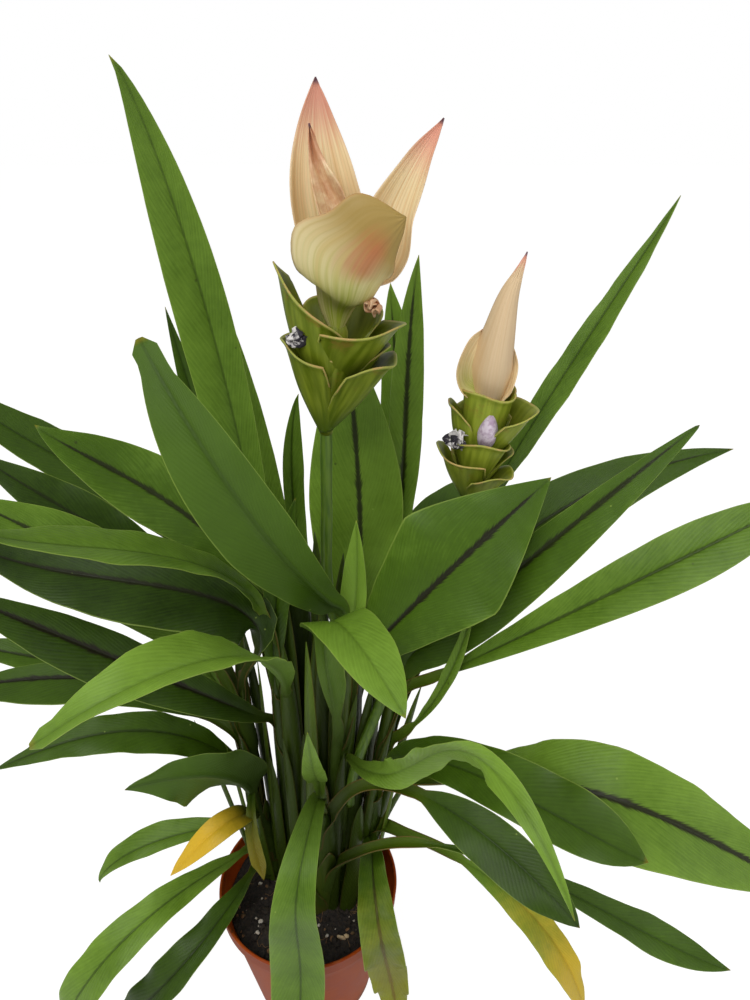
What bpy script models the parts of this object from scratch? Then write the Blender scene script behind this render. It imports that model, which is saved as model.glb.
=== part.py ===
"""A potted siam tulip (Curcuma): a nursery pot of soil, six shoots, their leaves and two flower stalks.

Units are metres and +Z is up. The origin is the centre of the pot's base. Lists of places are in
millimetres, because a plant is easier to read in whole millimetres, and MM turns them into metres.
Each leaf is one piece: a petiole that clasps its shoot, and a blade that arches over to the leaf's tip.
"""

from dataclasses import dataclass
from math import cos, pi, radians

import bmesh
import bpy
import numpy as np
from mathutils import Vector

MM = 0.001
UP = (0, 0, 1)
GAP = 0.3  # millimetres left between pieces that touch
MERGE_WITHIN = 0.01  # millimetres within which a turned solid's points on its axis become one
PAST = 1  # millimetres by which a cutter passes the face that it cuts

# Pot and soil, in millimetres.
POT_HEIGHT = 115
POT_RIM_RADIUS = 65
POT_BASE_RADIUS = 45
POT_WALL = 1.6
RIM_BAND_HEIGHT = 12
RIM_BAND_STEP = 2
RIM_BAND_DRAFT = 0.5
POT_EDGE = 1  # the chamfers of the rim band and of the base
SOIL_TOP = 98
DRAIN_HOLES = 6
DRAIN_HOLE_RADIUS = 4
DRAIN_CIRCLE_RADIUS = 30
DRAIN_HOLE_SIDES = 10
TURNED_STEPS = 40

# Shoots, petioles and blades, in millimetres.
STEM_BEVEL_RESOLUTION = 3  # gives a stem ten sides
SHOOT_POINTS = 9
SOCKET_DEPTH = 10
SOCKET_SIDES = 16
KNOT_STEPS = 16  # the steps between two knots of a smooth route
ARCH_PLACES = 14
HEADING_PLACE = 2  # the place of the arch that shows which way a leaf heads
PETIOLE_WIDTH = 5
PETIOLE_THICKNESS = 2.6
BLADE_THICKNESS = 0.8
TIP_WIDTH = 1.2
CLASP_LENGTH = 14
CLASP_LEAN = 1.5
STATIONS = 13
SWELL_POWER = 1.15  # how slowly a blade widens from its petiole
TAPER_POWER = 0.8  # how late a blade narrows towards its tip
STEM_FADE = 0.12  # the share of a leaf over which its petiole flattens into the blade
PETIOLE_REACH = 0.1  # the share of a leaf for which the petiole's width lasts into the blade

# Each shoot: the places that its axis passes through, and its radius at the soil and at its top.
SHOOTS = {
    "A": ([(-30, 16), (-35, 18, 180), (-37, 24, 295)], 6.0, 3.5),
    "B": ([(-4, 18), (-10, 16, 192), (-8, 14, 315)], 6.0, 3.5),
    "C": ([(8, -10), (15, -12, 176), (14, -16, 238)], 6.5, 4.5),
    "D": ([(20, 6), (24, 0, 200), (33, -2, 325)], 6.5, 3.5),
    "E": ([(36, 10), (47, 8, 190), (64, 14, 315)], 6.5, 3.5),
    "F": ([(16, 32), (19, 36, 170), (22, 44, 310)], 6.0, 3.5),
}
SHOOT_NAMES = {
    "A": "shoot_left", "B": "shoot_middle_left", "C": "shoot_front",
    "D": "shoot_centre", "E": "shoot_right", "F": "shoot_back",
}


# Plain colours, and how rough each matter is.
GREEN = (0.07, 0.16, 0.03)
PALE_GREEN = (0.16, 0.27, 0.06)
YELLOW = (0.55, 0.36, 0.05)
YELLOWING = (0.3, 0.33, 0.05)
POT_COLOUR = (0.35, 0.08, 0.035)
SOIL_COLOUR = (0.012, 0.009, 0.006)
SHOOT_COLOUR = (0.1, 0.17, 0.03)
STALK_COLOUR = (0.11, 0.17, 0.03)
CUPS_COLOUR = (0.2, 0.27, 0.03)
POT_ROUGHNESS = 0.45
SOIL_ROUGHNESS = 0.95
PLANT_ROUGHNESS = 0.45


@dataclass
class Leaf:
    """A leaf: the shoot that it grows from, the arch of its midrib, and its section.

    rise is the height above the soil at which it leaves its shoot, stalk how far it goes on along the
    shoot before it arches over, and tip the place of its tip. arch is how far the midrib lifts off the
    straight line to the tip, and sway how far it bows to the right of the way that it heads. Both are
    greatest at peak, and slow is how slowly they begin. halves are the half widths of its two sides,
    left and right, seen from the upper side with the tip up, at the share of the blade called widest.
    petiole is the share of the length that has no blade, faces are the directions that the upper side
    looks in, from the petiole to the tip, and fold is how far each half tilts up.
    """

    name: str
    shoot: str
    rise: float
    tip: tuple
    halves: tuple
    widest: float
    petiole: float
    fold: float
    faces: list
    stalk: float = 0
    arch: float = 0
    sway: float = 0
    peak: float = 0.5
    slow: float = 1
    colour: tuple = GREEN


LEAVES = [
    Leaf("leaf_tall_left", "B", rise=150, stalk=50, tip=(-63, 25, 638), arch=5, sway=21, peak=0.6,
         halves=(17, 15), widest=0.5, petiole=0.2, fold=12, faces=[(0.2, -1, 0.3)]),
    Leaf("leaf_tall_left_rear", "F", rise=120, tip=(-40, 80, 530), arch=-18, sway=3, peak=0.35,
         halves=(11, 12), widest=0.45, petiole=0.3, fold=16, faces=[(0.3, -1, 0.3)]),
    Leaf("leaf_front_left_broad", "D", rise=205, stalk=50, tip=(-55, -20, 530), sway=-30, peak=0.5,
         halves=(15, 22), widest=0.5, petiole=0.32, fold=12, faces=[(-0.3, 1, -0.3)]),
    Leaf("leaf_back_broad", "F", rise=160, tip=(34, 70, 505), arch=-3, sway=9, peak=0.4,
         halves=(31, 27), widest=0.55, petiole=0.2, fold=10, faces=[(0, -1, 0.2)]),
    Leaf("leaf_back_slim_left", "F", rise=193, tip=(58, 100, 525), arch=-30, sway=5, peak=0.45,
         halves=(11, 17), widest=0.4, petiole=0.3, fold=16, faces=[(0, -1, 0.2)]),
    Leaf("leaf_back_slim_right", "F", rise=130, tip=(73, 80, 545), arch=-20, sway=3, peak=0.35,
         halves=(10, 10), widest=0.65, petiole=0.3, fold=16, faces=[(0.1, -1, 0.2)]),
    Leaf("leaf_back_slim_pale", "F", rise=165, tip=(2, 90, 460), arch=-16, sway=-8, peak=0.55,
         halves=(6, 8), widest=0.7, petiole=0.3, fold=16, faces=[(0.2, -1, 0.2)], colour=PALE_GREEN),
    Leaf("leaf_young_bright", "D", rise=200, tip=(39, -2, 425), sway=-4, halves=(9, 7), widest=0.6,
         petiole=0.2, fold=20, faces=[(-0.3, -1, 0.2)], colour=YELLOWING),
    Leaf("leaf_tall_right", "E", rise=190, tip=(225, 120, 570), arch=-14, sway=-22, peak=0.4,
         halves=(9, 15), widest=0.5, petiole=0.3, fold=20,
         faces=[(-0.5, -1, 0.5), (-0.8, -0.4, 0.5), (-0.8, -0.6, 0.3)]),
    Leaf("leaf_right_broad", "D", rise=215, tip=(140, 0, 450), arch=4, sway=4, peak=0.45,
         halves=(38, 34), widest=0.6, petiole=0.25, fold=8, faces=[(0, -0.8, 0.8), (-0.2, -0.9, 0.6)]),
    Leaf("leaf_right_twisted", "E", rise=205, tip=(215, 10, 475), arch=9, sway=13, peak=0.7,
         halves=(12, 20), widest=0.38, petiole=0.12, fold=10,
         faces=[(0, -0.8, 0.8), (-0.2, -0.9, 0.5), (-0.3, -0.8, 0.6)]),
    Leaf("leaf_right_pale", "E", rise=150, tip=(270, 75, 430), arch=31, sway=-25, peak=0.5,
         halves=(22, 28), widest=0.4, petiole=0.25, fold=10, faces=[(0, -0.7, 1)], colour=PALE_GREEN),
    Leaf("leaf_right_long", "E", rise=180, tip=(262, -20, 450), arch=12, sway=19, peak=0.55,
         halves=(15, 16), widest=0.68, petiole=0.28, fold=10, faces=[(0, -0.7, 1)]),
    Leaf("leaf_right_low_broad", "E", rise=110, tip=(275, -110, 268), arch=68, sway=32, peak=0.56,
         slow=1.9, halves=(26, 30), widest=0.45, petiole=0.3, fold=8,
         faces=[(0, -0.3, 1), (0, -0.5, 1)]),
    Leaf("leaf_right_low_front", "E", rise=90, tip=(172, -130, 323), arch=46, sway=10, peak=0.42,
         halves=(18, 13), widest=0.7, petiole=0.3, fold=8, faces=[(0, -0.5, 1), (0, -0.7, 0.8)]),
    Leaf("leaf_right_low_dark", "C", rise=95, tip=(147, -132, 276), arch=56, sway=5, peak=0.52,
         halves=(12, 14), widest=0.5, petiole=0.6, fold=8, faces=[(0, -0.5, 1), (-0.2, -0.6, 0.8)]),
    Leaf("leaf_front_arched", "D", rise=140, tip=(120, -185, 370), arch=50, sway=2, peak=0.8, slow=2.6,
         halves=(10, 9), widest=0.5, petiole=0.12, fold=10,
         faces=[(0, -0.5, 1), (0, -0.7, 0.9), (0.1, -1, 0.5), (0.1, -1, 0.4)]),
    Leaf("leaf_right_low_olive", "C", rise=38, tip=(255, -100, 180), arch=68, sway=12, peak=0.38,
         halves=(11, 11), widest=0.75, petiole=0.36, fold=10, faces=[(0, -0.3, 1)]),
    Leaf("leaf_right_low_yellowing", "E", rise=60, tip=(180, -90, 115), arch=50, sway=2, peak=0.55,
         halves=(8, 14), widest=0.6, petiole=0.4, fold=14, faces=[(0.3, -0.5, 0.8)], colour=YELLOWING),
    Leaf("leaf_front_right_hanging", "E", rise=30, stalk=25, tip=(68, -75, 40), arch=47, sway=12,
         peak=0.25, halves=(13, 14), widest=0.55, petiole=0.12, fold=10,
         faces=[(0, -0.6, 1), (0, -1, 0.5)]),
    Leaf("leaf_front_hanging", "C", rise=95, stalk=25, tip=(-5, -100, 45), arch=42, sway=-2, peak=0.2,
         halves=(16, 19), widest=0.7, petiole=0.12, fold=10, faces=[(0, -0.6, 1), (0, -1, 0.5)]),
    Leaf("leaf_front_small", "C", rise=136, tip=(14, -65, 335), arch=-6, halves=(6, 6), widest=0.5,
         petiole=0.1, fold=12, faces=[(0, -1, 0.3)]),
    Leaf("leaf_left_low_long", "A", rise=26, tip=(-160, -85, 75), arch=50, sway=-14, peak=0.52,
         halves=(14, 14), widest=0.7, petiole=0.1, fold=10, faces=[(0, -0.4, 1)]),
    Leaf("leaf_left_low_inner", "A", rise=12, tip=(-141, -75, 44), arch=37, sway=-31, peak=0.42,
         halves=(11, 14), widest=0.6, petiole=0.1, fold=10, faces=[(0, -0.4, 1)]),
    Leaf("leaf_left_low_pale", "A", rise=45, tip=(-149, -10, 125), arch=18, sway=1, peak=0.6,
         halves=(8, 12), widest=0.55, petiole=0.2, fold=10, faces=[(0, -0.4, 1)], colour=PALE_GREEN),
    Leaf("leaf_left_yellow", "A", rise=62, tip=(-84, -40, 178), arch=33, sway=-14, peak=0.5,
         halves=(9, 8), widest=0.6, petiole=0.1, fold=10, faces=[(0, -0.5, 1)], colour=YELLOW),
    Leaf("leaf_left_folded", "A", rise=80, tip=(-95, -50, 273), arch=22, sway=-16, peak=0.6,
         halves=(20, 36), widest=0.3, petiole=0.25, fold=20, faces=[(-0.1, 0.8, -0.4)]),
    Leaf("leaf_left_dark_long", "B", rise=150, tip=(-155, -55, 420), arch=4, sway=-8, peak=0.35,
         halves=(18, 13), widest=0.6, petiole=0.2, fold=10, faces=[(0, -0.6, 1)]),
    Leaf("leaf_left_near_curled", "B", rise=175, tip=(-70, -160, 430), arch=40, sway=-40, peak=0.75,
         halves=(9, 17), widest=0.5, petiole=0.25, fold=16, faces=[(0.3, 0.2, 1), (0, -0.3, 1)]),
    Leaf("leaf_front_near_curled", "D", rise=150, tip=(62, -112, 394), arch=57, sway=10, peak=0.66,
         slow=1.7, halves=(16, 15), widest=0.6, petiole=0.3, fold=8,
         faces=[(0, 0.5, 0.8), (0, 0, 1), (0.2, -0.5, 1)]),
    Leaf("leaf_left_upper_broad", "B", rise=190, tip=(-125, 10, 475), arch=25, sway=12, peak=0.42,
         halves=(20, 20), widest=0.62, petiole=0.35, fold=14, faces=[(-0.2, -0.7, 1)]),
    Leaf("leaf_left_upper_dark", "A", rise=160, tip=(-190, 60, 436), arch=12, sway=18, peak=0.4,
         halves=(17, 17), widest=0.6, petiole=0.3, fold=14, faces=[(-0.2, -0.6, 1)]),
    Leaf("leaf_left_upper_light", "A", rise=160, tip=(-160, -12, 446), arch=22, sway=-4, peak=0.45,
         halves=(24, 18), widest=0.65, petiole=0.3, fold=12, faces=[(-0.2, -0.6, 1)]),
    Leaf("leaf_left_curved", "B", rise=205, tip=(-100, -110, 487), arch=30, sway=-5, peak=0.4,
         halves=(15, 13), widest=0.65, petiole=0.35, fold=14, faces=[(-0.2, -0.5, 1)]),
    Leaf("leaf_left_dark_broad", "A", rise=180, tip=(-155, -30, 430), arch=52, sway=-28, peak=0.32,
         halves=(26, 22), widest=0.55, petiole=0.3, fold=10, faces=[(-0.2, -0.5, 1)]),
    Leaf("leaf_left_far", "A", rise=150, tip=(-215, 95, 468), sway=60, peak=0.35, halves=(19, 19),
         widest=0.6, petiole=0.4, fold=14, faces=[(-0.2, -0.4, 1)]),
    Leaf("leaf_left_middle_far", "A", rise=143, tip=(-255, 70, 284), arch=-30, sway=40, peak=0.3,
         halves=(16, 16), widest=0.55, petiole=0.25, fold=12, faces=[(-0.1, -0.3, 1)]),
    Leaf("leaf_left_middle", "A", rise=125, tip=(-230, 10, 292), arch=15, sway=18, peak=0.45,
         halves=(23, 11), widest=0.6, petiole=0.25, fold=12, faces=[(-0.1, -0.3, 1)]),
    Leaf("leaf_left_lower", "A", rise=105, tip=(-185, -25, 260), arch=36, sway=-4, peak=0.48,
         halves=(15, 12), widest=0.45, petiole=0.2, fold=12, faces=[(-0.1, -0.5, 1)]),
    Leaf("leaf_rear_left", "F", rise=100, tip=(-100, 230, 320), arch=76, sway=5, peak=0.55,
         halves=(21, 21), widest=0.5, petiole=0.25, fold=12, faces=[(0, -0.3, 1)]),
    Leaf("leaf_rear_right", "F", rise=75, tip=(165, 210, 320), arch=80, peak=0.6, halves=(21, 21),
         widest=0.5, petiole=0.25, fold=12, faces=[(0, -0.3, 1)]),
]


@dataclass
class Bract:
    """A coloured leaf of a flower head: how high on the head it starts, and where it goes.

    A fullness above 1 moves its widest place from the middle towards the tip.
    """

    name: str
    head: int
    rise: float
    width: float
    curl: float
    face: tuple
    route: list
    fullness: float = 1.05
    colour: tuple = (0.75, 0.62, 0.36)


BRACTS = [
    Bract("bract_1_back", 1, rise=66, width=32, curl=30, face=(0.1, -1, 0.2),
          route=[(28, 22, 562), (24, 24, 587), (23, 24, 610), (24, 20, 630)]),
    Bract("bract_1_withered", 1, rise=78, width=9, curl=20, face=(0.2, -1, 0.2),
          route=[(27, 13, 570), (24, 13, 591), (21, 13, 613)], colour=(0.55, 0.3, 0.15)),
    Bract("bract_1_right", 1, rise=68, width=28, curl=30, face=(-0.4, -1, 0.3),
          route=[(53, 17, 556), (60, 17, 580), (69, 14, 599), (78, 11, 615)]),
    Bract("bract_1_hood", 1, rise=61, width=54, curl=24, face=(0, 1, 0.2), fullness=1.5,
          route=[(36, -6, 545), (37, -12, 560), (40, -13, 574), (46, -8, 584)]),
    Bract("bract_2_pointed", 2, rise=58, width=26, curl=50, face=(0.1, 1, 0),
          route=[(111, 29, 497), (112, 29, 515), (116, 31, 536), (123, 34, 556)]),
    Bract("bract_2_left", 2, rise=58, width=12, curl=25, face=(0.6, -1, 0.2),
          route=[(97, 40, 488), (97, 41, 499), (102, 42, 514)]),
    Bract("bract_2_right", 2, rise=56, width=12, curl=25, face=(-0.6, -1, 0.2),
          route=[(121, 42, 484), (125, 44, 494), (127, 44, 506)]),
]

# Flower heads: a turned stack of fused green cups, as radius and height above the stalk's end.
HEAD_1_PROFILE = [
    (0, 0), (3, 0), (9, 12), (15, 25), (26, 42), (24.6, 42.6), (11, 31), (8.5, 34), (10, 41), (24, 55),
    (22.6, 55.6), (8, 46), (6.5, 58), (6, 82), (0, 82),
]
HEAD_2_PROFILE = [
    (0, 0), (3, 0), (10, 12), (23, 29), (21.6, 29.6), (8.5, 20), (8, 25), (10, 38), (23, 50),
    (21.6, 50.6), (7.5, 41), (6, 52), (5.5, 62), (0, 62),
]
HEAD_STEPS = 20
STALK_RADIUS = 3.2
STALK_STRAIGHT_END = 8
STALK_POINTS = 10
STALK_1_LEAD = 12  # the stretch for which the first stalk carries its shoot's line on
STALK_1 = [(23, 4, 368), (23, 8, 432), (24, 10, 472)]
STALK_2 = [(38, -8, 250), (55, 3, 298), (67, 15, 337), (88, 30, 378), (104, 38, 421)]
STALK_2_RISE = 112
STALKS_SHOOT = "D"
HEAD_1_WAY = (9, 0, 72)
HEAD_2_WAY = (7, 0, 65)
BRACT_THICKNESS = 0.9
BRACT_STATIONS = 9
BRACT_FOOT_WIDTH = 6
BRACT_CLASP = 5  # the stretch for which a bract runs up its head's core
BRACT_POWER = 0.8  # how blunt a bract's ends are
LEAF_COLUMNS = [(-1, 0), (0, 0), (1, 0)]
BRACT_COLUMNS = [(-1, 0.35), (-0.5, -0.35), (0, 0), (0.5, -0.35), (1, 0.35)]


def clear_scene():
    for obj in list(bpy.data.objects):
        bpy.data.objects.remove(obj, do_unlink=True)


def new_collection(name):
    collection = bpy.data.collections.new(name)
    bpy.context.scene.collection.children.link(collection)
    return collection


def material(name, colour, roughness):
    made = bpy.data.materials.new(name)
    made.use_nodes = True
    shader = made.node_tree.nodes["Principled BSDF"]
    shader.inputs["Base Color"].default_value = (*colour, 1)
    shader.inputs["Roughness"].default_value = roughness
    shader.inputs["Metallic"].default_value = 0
    return made


def add_object(name, data, colour, roughness, collection):
    obj = bpy.data.objects.new(name, data)
    collection.objects.link(obj)
    data.materials.append(material(name + "_finish", colour, roughness))
    return obj


def unit(vectors):
    vectors = np.asarray(vectors, float)
    return vectors / np.linalg.norm(vectors, axis=-1, keepdims=True)


def smooth_route(places, count):
    """count points, evenly spaced, on a centripetal Catmull-Rom curve through the places."""
    knots = np.asarray(places, float)
    knots = np.vstack([2 * knots[0] - knots[1], knots, 2 * knots[-1] - knots[-2]])
    pieces = []
    for p0, p1, p2, p3 in zip(knots, knots[1:], knots[2:], knots[3:]):
        t1 = np.linalg.norm(p1 - p0) ** 0.5
        t2 = t1 + np.linalg.norm(p2 - p1) ** 0.5
        t3 = t2 + np.linalg.norm(p3 - p2) ** 0.5
        t = np.linspace(t1, t2, KNOT_STEPS, endpoint=False)[:, None]
        a1 = ((t1 - t) * p0 + t * p1) / t1
        a2 = ((t2 - t) * p1 + (t - t1) * p2) / (t2 - t1)
        a3 = ((t3 - t) * p2 + (t - t2) * p3) / (t3 - t2)
        b1 = ((t2 - t) * a1 + t * a2) / t2
        b2 = ((t3 - t) * a2 + (t - t1) * a3) / (t3 - t1)
        pieces.append(((t2 - t) * b1 + (t - t1) * b2) / (t2 - t1))
    dense = np.vstack(pieces + [knots[-2:-1]])
    length = np.concatenate([[0], np.cumsum(np.linalg.norm(np.diff(dense, axis=0), axis=1))])
    even = np.linspace(0, length[-1], count)
    return np.stack([np.interp(even, length, dense[:, k]) for k in range(3)], axis=1)


def tube(name, points, radii, colour, roughness, collection):
    """A capped tube through points in millimetres, with a radius for each."""
    curve = bpy.data.curves.new(name, "CURVE")
    curve.dimensions = "3D"
    curve.bevel_depth = MM
    curve.bevel_resolution = STEM_BEVEL_RESOLUTION
    curve.use_fill_caps = True
    spline = curve.splines.new("POLY")
    spline.points.add(len(points) - 1)
    for point, place, radius in zip(spline.points, points, radii):
        point.co = (*(place * MM), 1)
        point.radius = radius
    spline.use_smooth = True
    return add_object(name, curve, colour, roughness, collection)


def turned(name, profile, steps, colour, roughness, collection):
    """A solid of revolution about its own Z from (radius, height) pairs in millimetres.

    The profile runs down its outer side first.
    """
    mesh = bpy.data.meshes.new(name)
    points = [(radius * MM, 0, height * MM) for radius, height in profile]
    mesh.from_pydata(points, [(i, i + 1) for i in range(len(points) - 1)], [])
    obj = add_object(name, mesh, colour, roughness, collection)
    screw = obj.modifiers.new("Screw", "SCREW")
    screw.steps = steps
    screw.render_steps = steps
    screw.use_merge_vertices = True
    screw.merge_threshold = MERGE_WITHIN * MM
    screw.use_smooth_shade = True
    return obj


def cylinder_cutter(name, radius, bottom, top, x, y, sides, collection):
    mesh = bpy.data.meshes.new(name)
    shape = bmesh.new()
    bmesh.ops.create_cone(
        shape, cap_ends=True, segments=sides, radius1=radius * MM, radius2=radius * MM,
        depth=(top - bottom) * MM,
    )
    shape.to_mesh(mesh)
    shape.free()
    obj = bpy.data.objects.new(name, mesh)
    obj.location = (x * MM, y * MM, (top + bottom) / 2 * MM)
    obj.hide_render = True
    obj.display_type = "WIRE"
    collection.objects.link(obj)
    return obj


def cut(obj, cutter):
    boolean = obj.modifiers.new("Cut " + cutter.name, "BOOLEAN")
    boolean.operation = "DIFFERENCE"
    boolean.solver = "EXACT"
    boolean.object = cutter


def pot_radius(height):
    """The radius of the pot's outside below its rim band."""
    share = height / POT_HEIGHT
    return POT_BASE_RADIUS + (POT_RIM_RADIUS - RIM_BAND_STEP - POT_BASE_RADIUS) * share


def add_pot(parts, cutters):
    band_bottom = POT_HEIGHT - RIM_BAND_HEIGHT
    inner_rim = pot_radius(POT_HEIGHT) - POT_WALL
    profile = [
        (0, POT_WALL),
        (pot_radius(POT_WALL) - POT_WALL, POT_WALL),
        (inner_rim, POT_HEIGHT),
        (POT_RIM_RADIUS, POT_HEIGHT),
        (POT_RIM_RADIUS - RIM_BAND_DRAFT, band_bottom),
        (pot_radius(band_bottom), band_bottom - POT_EDGE),
        (pot_radius(POT_EDGE), POT_EDGE),
        (POT_BASE_RADIUS - POT_EDGE, 0),
        (0, 0),
    ]
    pot = turned("pot", profile, TURNED_STEPS, POT_COLOUR, POT_ROUGHNESS, parts)
    for index in range(DRAIN_HOLES):
        angle = 2 * pi * index / DRAIN_HOLES
        x = DRAIN_CIRCLE_RADIUS * np.cos(angle)
        y = DRAIN_CIRCLE_RADIUS * np.sin(angle)
        name = f"drain_hole_{index + 1}"
        cutter = cylinder_cutter(
            name, DRAIN_HOLE_RADIUS, -PAST, POT_WALL + PAST, x, y, DRAIN_HOLE_SIDES, cutters
        )
        cut(pot, cutter)


def add_soil(parts, cutters):
    floor = POT_WALL + GAP
    clear = POT_WALL + GAP
    profile = [
        (0, SOIL_TOP),
        (pot_radius(SOIL_TOP) - clear, SOIL_TOP),
        (pot_radius(floor) - clear, floor),
        (0, floor),
    ]
    soil = turned("soil", profile, TURNED_STEPS, SOIL_COLOUR, SOIL_ROUGHNESS, parts)
    for key, (places, radius, _) in SHOOTS.items():
        socket = (radius + GAP) / cos(pi / SOCKET_SIDES)
        x, y = places[0]
        name = "socket_" + key
        bottom = SOIL_TOP - SOCKET_DEPTH
        top = SOIL_TOP + PAST
        cut(soil, cylinder_cutter(name, socket, bottom, top, x, y, SOCKET_SIDES, cutters))


def shoot_axis(key):
    """Points along a shoot's axis from its foot in the soil, and the radius at each."""
    places, foot_radius, top_radius = SHOOTS[key]
    x, y = places[0]
    foot = [(x, y, SOIL_TOP - SOCKET_DEPTH + GAP), (x, y, SOIL_TOP + PAST)]
    points = np.vstack([foot[:1], smooth_route(foot[1:] + places[1:], SHOOT_POINTS)])
    radii = np.interp(points[:, 2], [SOIL_TOP, points[-1, 2]], [foot_radius, top_radius])
    return points, radii


def clasp(points, radii, height, toward, stand_off):
    """Where a stem leaves an axis at a height: its first two points, and the way in to the axis."""
    below, here, above = [
        np.array([np.interp(level, points[:, 2], points[:, k]) for k in range(3)])
        for level in (height - CLASP_LENGTH, height, height + CLASP_LENGTH)
    ]
    along = unit(above - below)
    out = np.asarray(toward, float) - here
    out = unit(out - (out @ along) * along)
    radius = np.interp(height, points[:, 2], radii)
    start = here + out * (radius + GAP + stand_off)
    return start, start + CLASP_LENGTH * along + CLASP_LEAN * out, -out


def arch_places(leaf, foot):
    """Places along a leaf's arch, from its foot to the leaf's tip."""
    chord = np.asarray(leaf.tip, float) - foot
    level = unit(np.cross(chord, UP))
    lift = unit(np.cross(level, chord))
    share = np.sin(pi / 2 * np.linspace(0, 1, ARCH_PLACES + 1)[1:])
    fall = leaf.slow * (1 - leaf.peak) / leaf.peak
    hump = share ** leaf.slow * (1 - share) ** fall
    hump /= leaf.peak ** leaf.slow * (1 - leaf.peak) ** fall
    return foot + share[:, None] * chord + hump[:, None] * (leaf.arch * lift + leaf.sway * level)


def directions_along(share, knots, directions):
    ways = unit(directions)
    return np.stack([np.interp(share, knots, ways[:, k]) for k in range(3)], axis=1)


def blade_mesh(name, points, half_widths, faces, tilts, columns):
    """An open sheet along points: each half rises towards the upper side by its station's tilt.

    half_widths are those of the left and of the right half. columns are the places across the sheet,
    from -1 to 1, each with the share by which its tilt is greater.
    """
    along = unit(np.gradient(points, axis=0))
    upper = unit(faces - (faces * along).sum(axis=1, keepdims=True) * along)
    side = np.cross(along, upper)
    rows, count = len(points), len(columns)
    places = np.zeros((rows, count, 3))
    for column, (across, extra) in enumerate(columns):
        angle = tilts * (1 + extra)
        half = half_widths[0] if across < 0 else half_widths[1]
        sideways = half * across * np.cos(angle)
        upwards = half * abs(across) * np.sin(angle)
        places[:, column] = points + side * sideways[:, None] + upper * upwards[:, None]
    quads = [
        (row * count + col, row * count + col + 1, (row + 1) * count + col + 1, (row + 1) * count + col)
        for row in range(rows - 1)
        for col in range(count - 1)
    ]
    mesh = bpy.data.meshes.new(name)
    mesh.from_pydata((places.reshape(-1, 3) * MM).tolist(), [], quads)
    mesh.shade_smooth()
    return mesh


def thicken(obj, thickness, thin_share, weights, columns):
    """Solidifies a sheet towards its underside, from full thickness down to a share of it."""
    group = obj.vertex_groups.new(name="thickness")
    for row, weight in enumerate(weights):
        group.add([row * columns + column for column in range(columns)], float(weight), "REPLACE")
    solid = obj.modifiers.new("Solidify", "SOLIDIFY")
    solid.thickness = thickness * MM
    solid.offset = -1
    solid.vertex_group = group.name
    solid.thickness_vertex_group = thin_share


def add_leaf(leaf, parts):
    points, radii = shoot_axis(leaf.shoot)
    height = SOIL_TOP + leaf.rise
    axis = np.array([np.interp(height, points[:, 2], points[:, k]) for k in range(3)])
    start, second, inward = clasp(points, radii, height, arch_places(leaf, axis)[HEADING_PLACE], 0)
    foot = second + leaf.stalk * unit(second - start)
    stalk = [foot] if leaf.stalk else []
    midrib = smooth_route([start, second, *stalk, *arch_places(leaf, foot)], STATIONS)
    share = np.linspace(0, 1, STATIONS)
    blade = np.clip((share - leaf.petiole) / (1 - leaf.petiole), 0, 1)
    swell = np.sin(pi / 2 * np.clip(blade / leaf.widest, 0, 1)) ** SWELL_POWER
    taper = np.cos(pi / 2 * np.clip((blade - leaf.widest) / (1 - leaf.widest), 0, 1)) ** TAPER_POWER
    least = np.where(share < leaf.petiole + PETIOLE_REACH, PETIOLE_WIDTH, TIP_WIDTH) / 2
    half_widths = [np.maximum(half * swell * taper, least) for half in leaf.halves]
    knots = [0, *np.linspace(0.2, 1, len(leaf.faces) + 1)[:-1], 1]
    faces = directions_along(share, knots, [inward] + leaf.faces + leaf.faces[-1:])
    tilts = radians(leaf.fold) * np.interp(share, [0, leaf.petiole, 1], [0.2, 1, 0.6])
    mesh = blade_mesh(leaf.name, midrib, half_widths, faces, tilts, LEAF_COLUMNS)
    obj = add_object(leaf.name, mesh, leaf.colour, PLANT_ROUGHNESS, parts)
    weights = 1 - np.clip((share - leaf.petiole) / STEM_FADE, 0, 1)
    thicken(obj, PETIOLE_THICKNESS, BLADE_THICKNESS / PETIOLE_THICKNESS, weights, len(LEAF_COLUMNS))


def add_bract(bract, axis, profile, parts):
    """A bract stands on its head's core, at a height measured along the head."""
    start_of_head, way = axis
    base = start_of_head + way * bract.rise
    out = np.asarray(bract.route[0], float) - base
    out = unit(out - (out @ way) * way)
    (low_radius, low), (high_radius, high) = profile[-3:-1]  # the core above the green cups
    radius = np.interp(bract.rise, [low, high], [low_radius, high_radius])
    start = base + out * (radius + GAP)
    midrib = smooth_route([start, start + way * BRACT_CLASP + out] + bract.route, BRACT_STATIONS)
    share = np.linspace(0, 1, BRACT_STATIONS)
    body = np.sin(pi * share ** bract.fullness) ** BRACT_POWER
    least = np.interp(share, [0, 0.6, 1], [BRACT_FOOT_WIDTH, BRACT_FOOT_WIDTH / 2, TIP_WIDTH])
    half_widths = np.maximum(bract.width * body, np.minimum(least, bract.width)) / 2
    faces = directions_along(share, [0, 0.3, 1], [-out, bract.face, bract.face])
    tilts = radians(bract.curl) * np.interp(share, [0, 0.2, 0.6, 1], [0, 0.6, 1, 0.6])
    mesh = blade_mesh(bract.name, midrib, [half_widths] * 2, faces, tilts, BRACT_COLUMNS)
    obj = add_object(bract.name, mesh, bract.colour, PLANT_ROUGHNESS, parts)
    thicken(obj, BRACT_THICKNESS, 1, np.ones(BRACT_STATIONS), len(BRACT_COLUMNS))


def add_head(index, profile, foot, way, parts):
    name = f"green_bracts_{index}"
    head = turned(name, profile[::-1], HEAD_STEPS, CUPS_COLOUR, PLANT_ROUGHNESS, parts)
    head.location = Vector(foot) * MM
    head.rotation_mode = "QUATERNION"
    head.rotation_quaternion = Vector(way).to_track_quat("Z", "Y")


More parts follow.
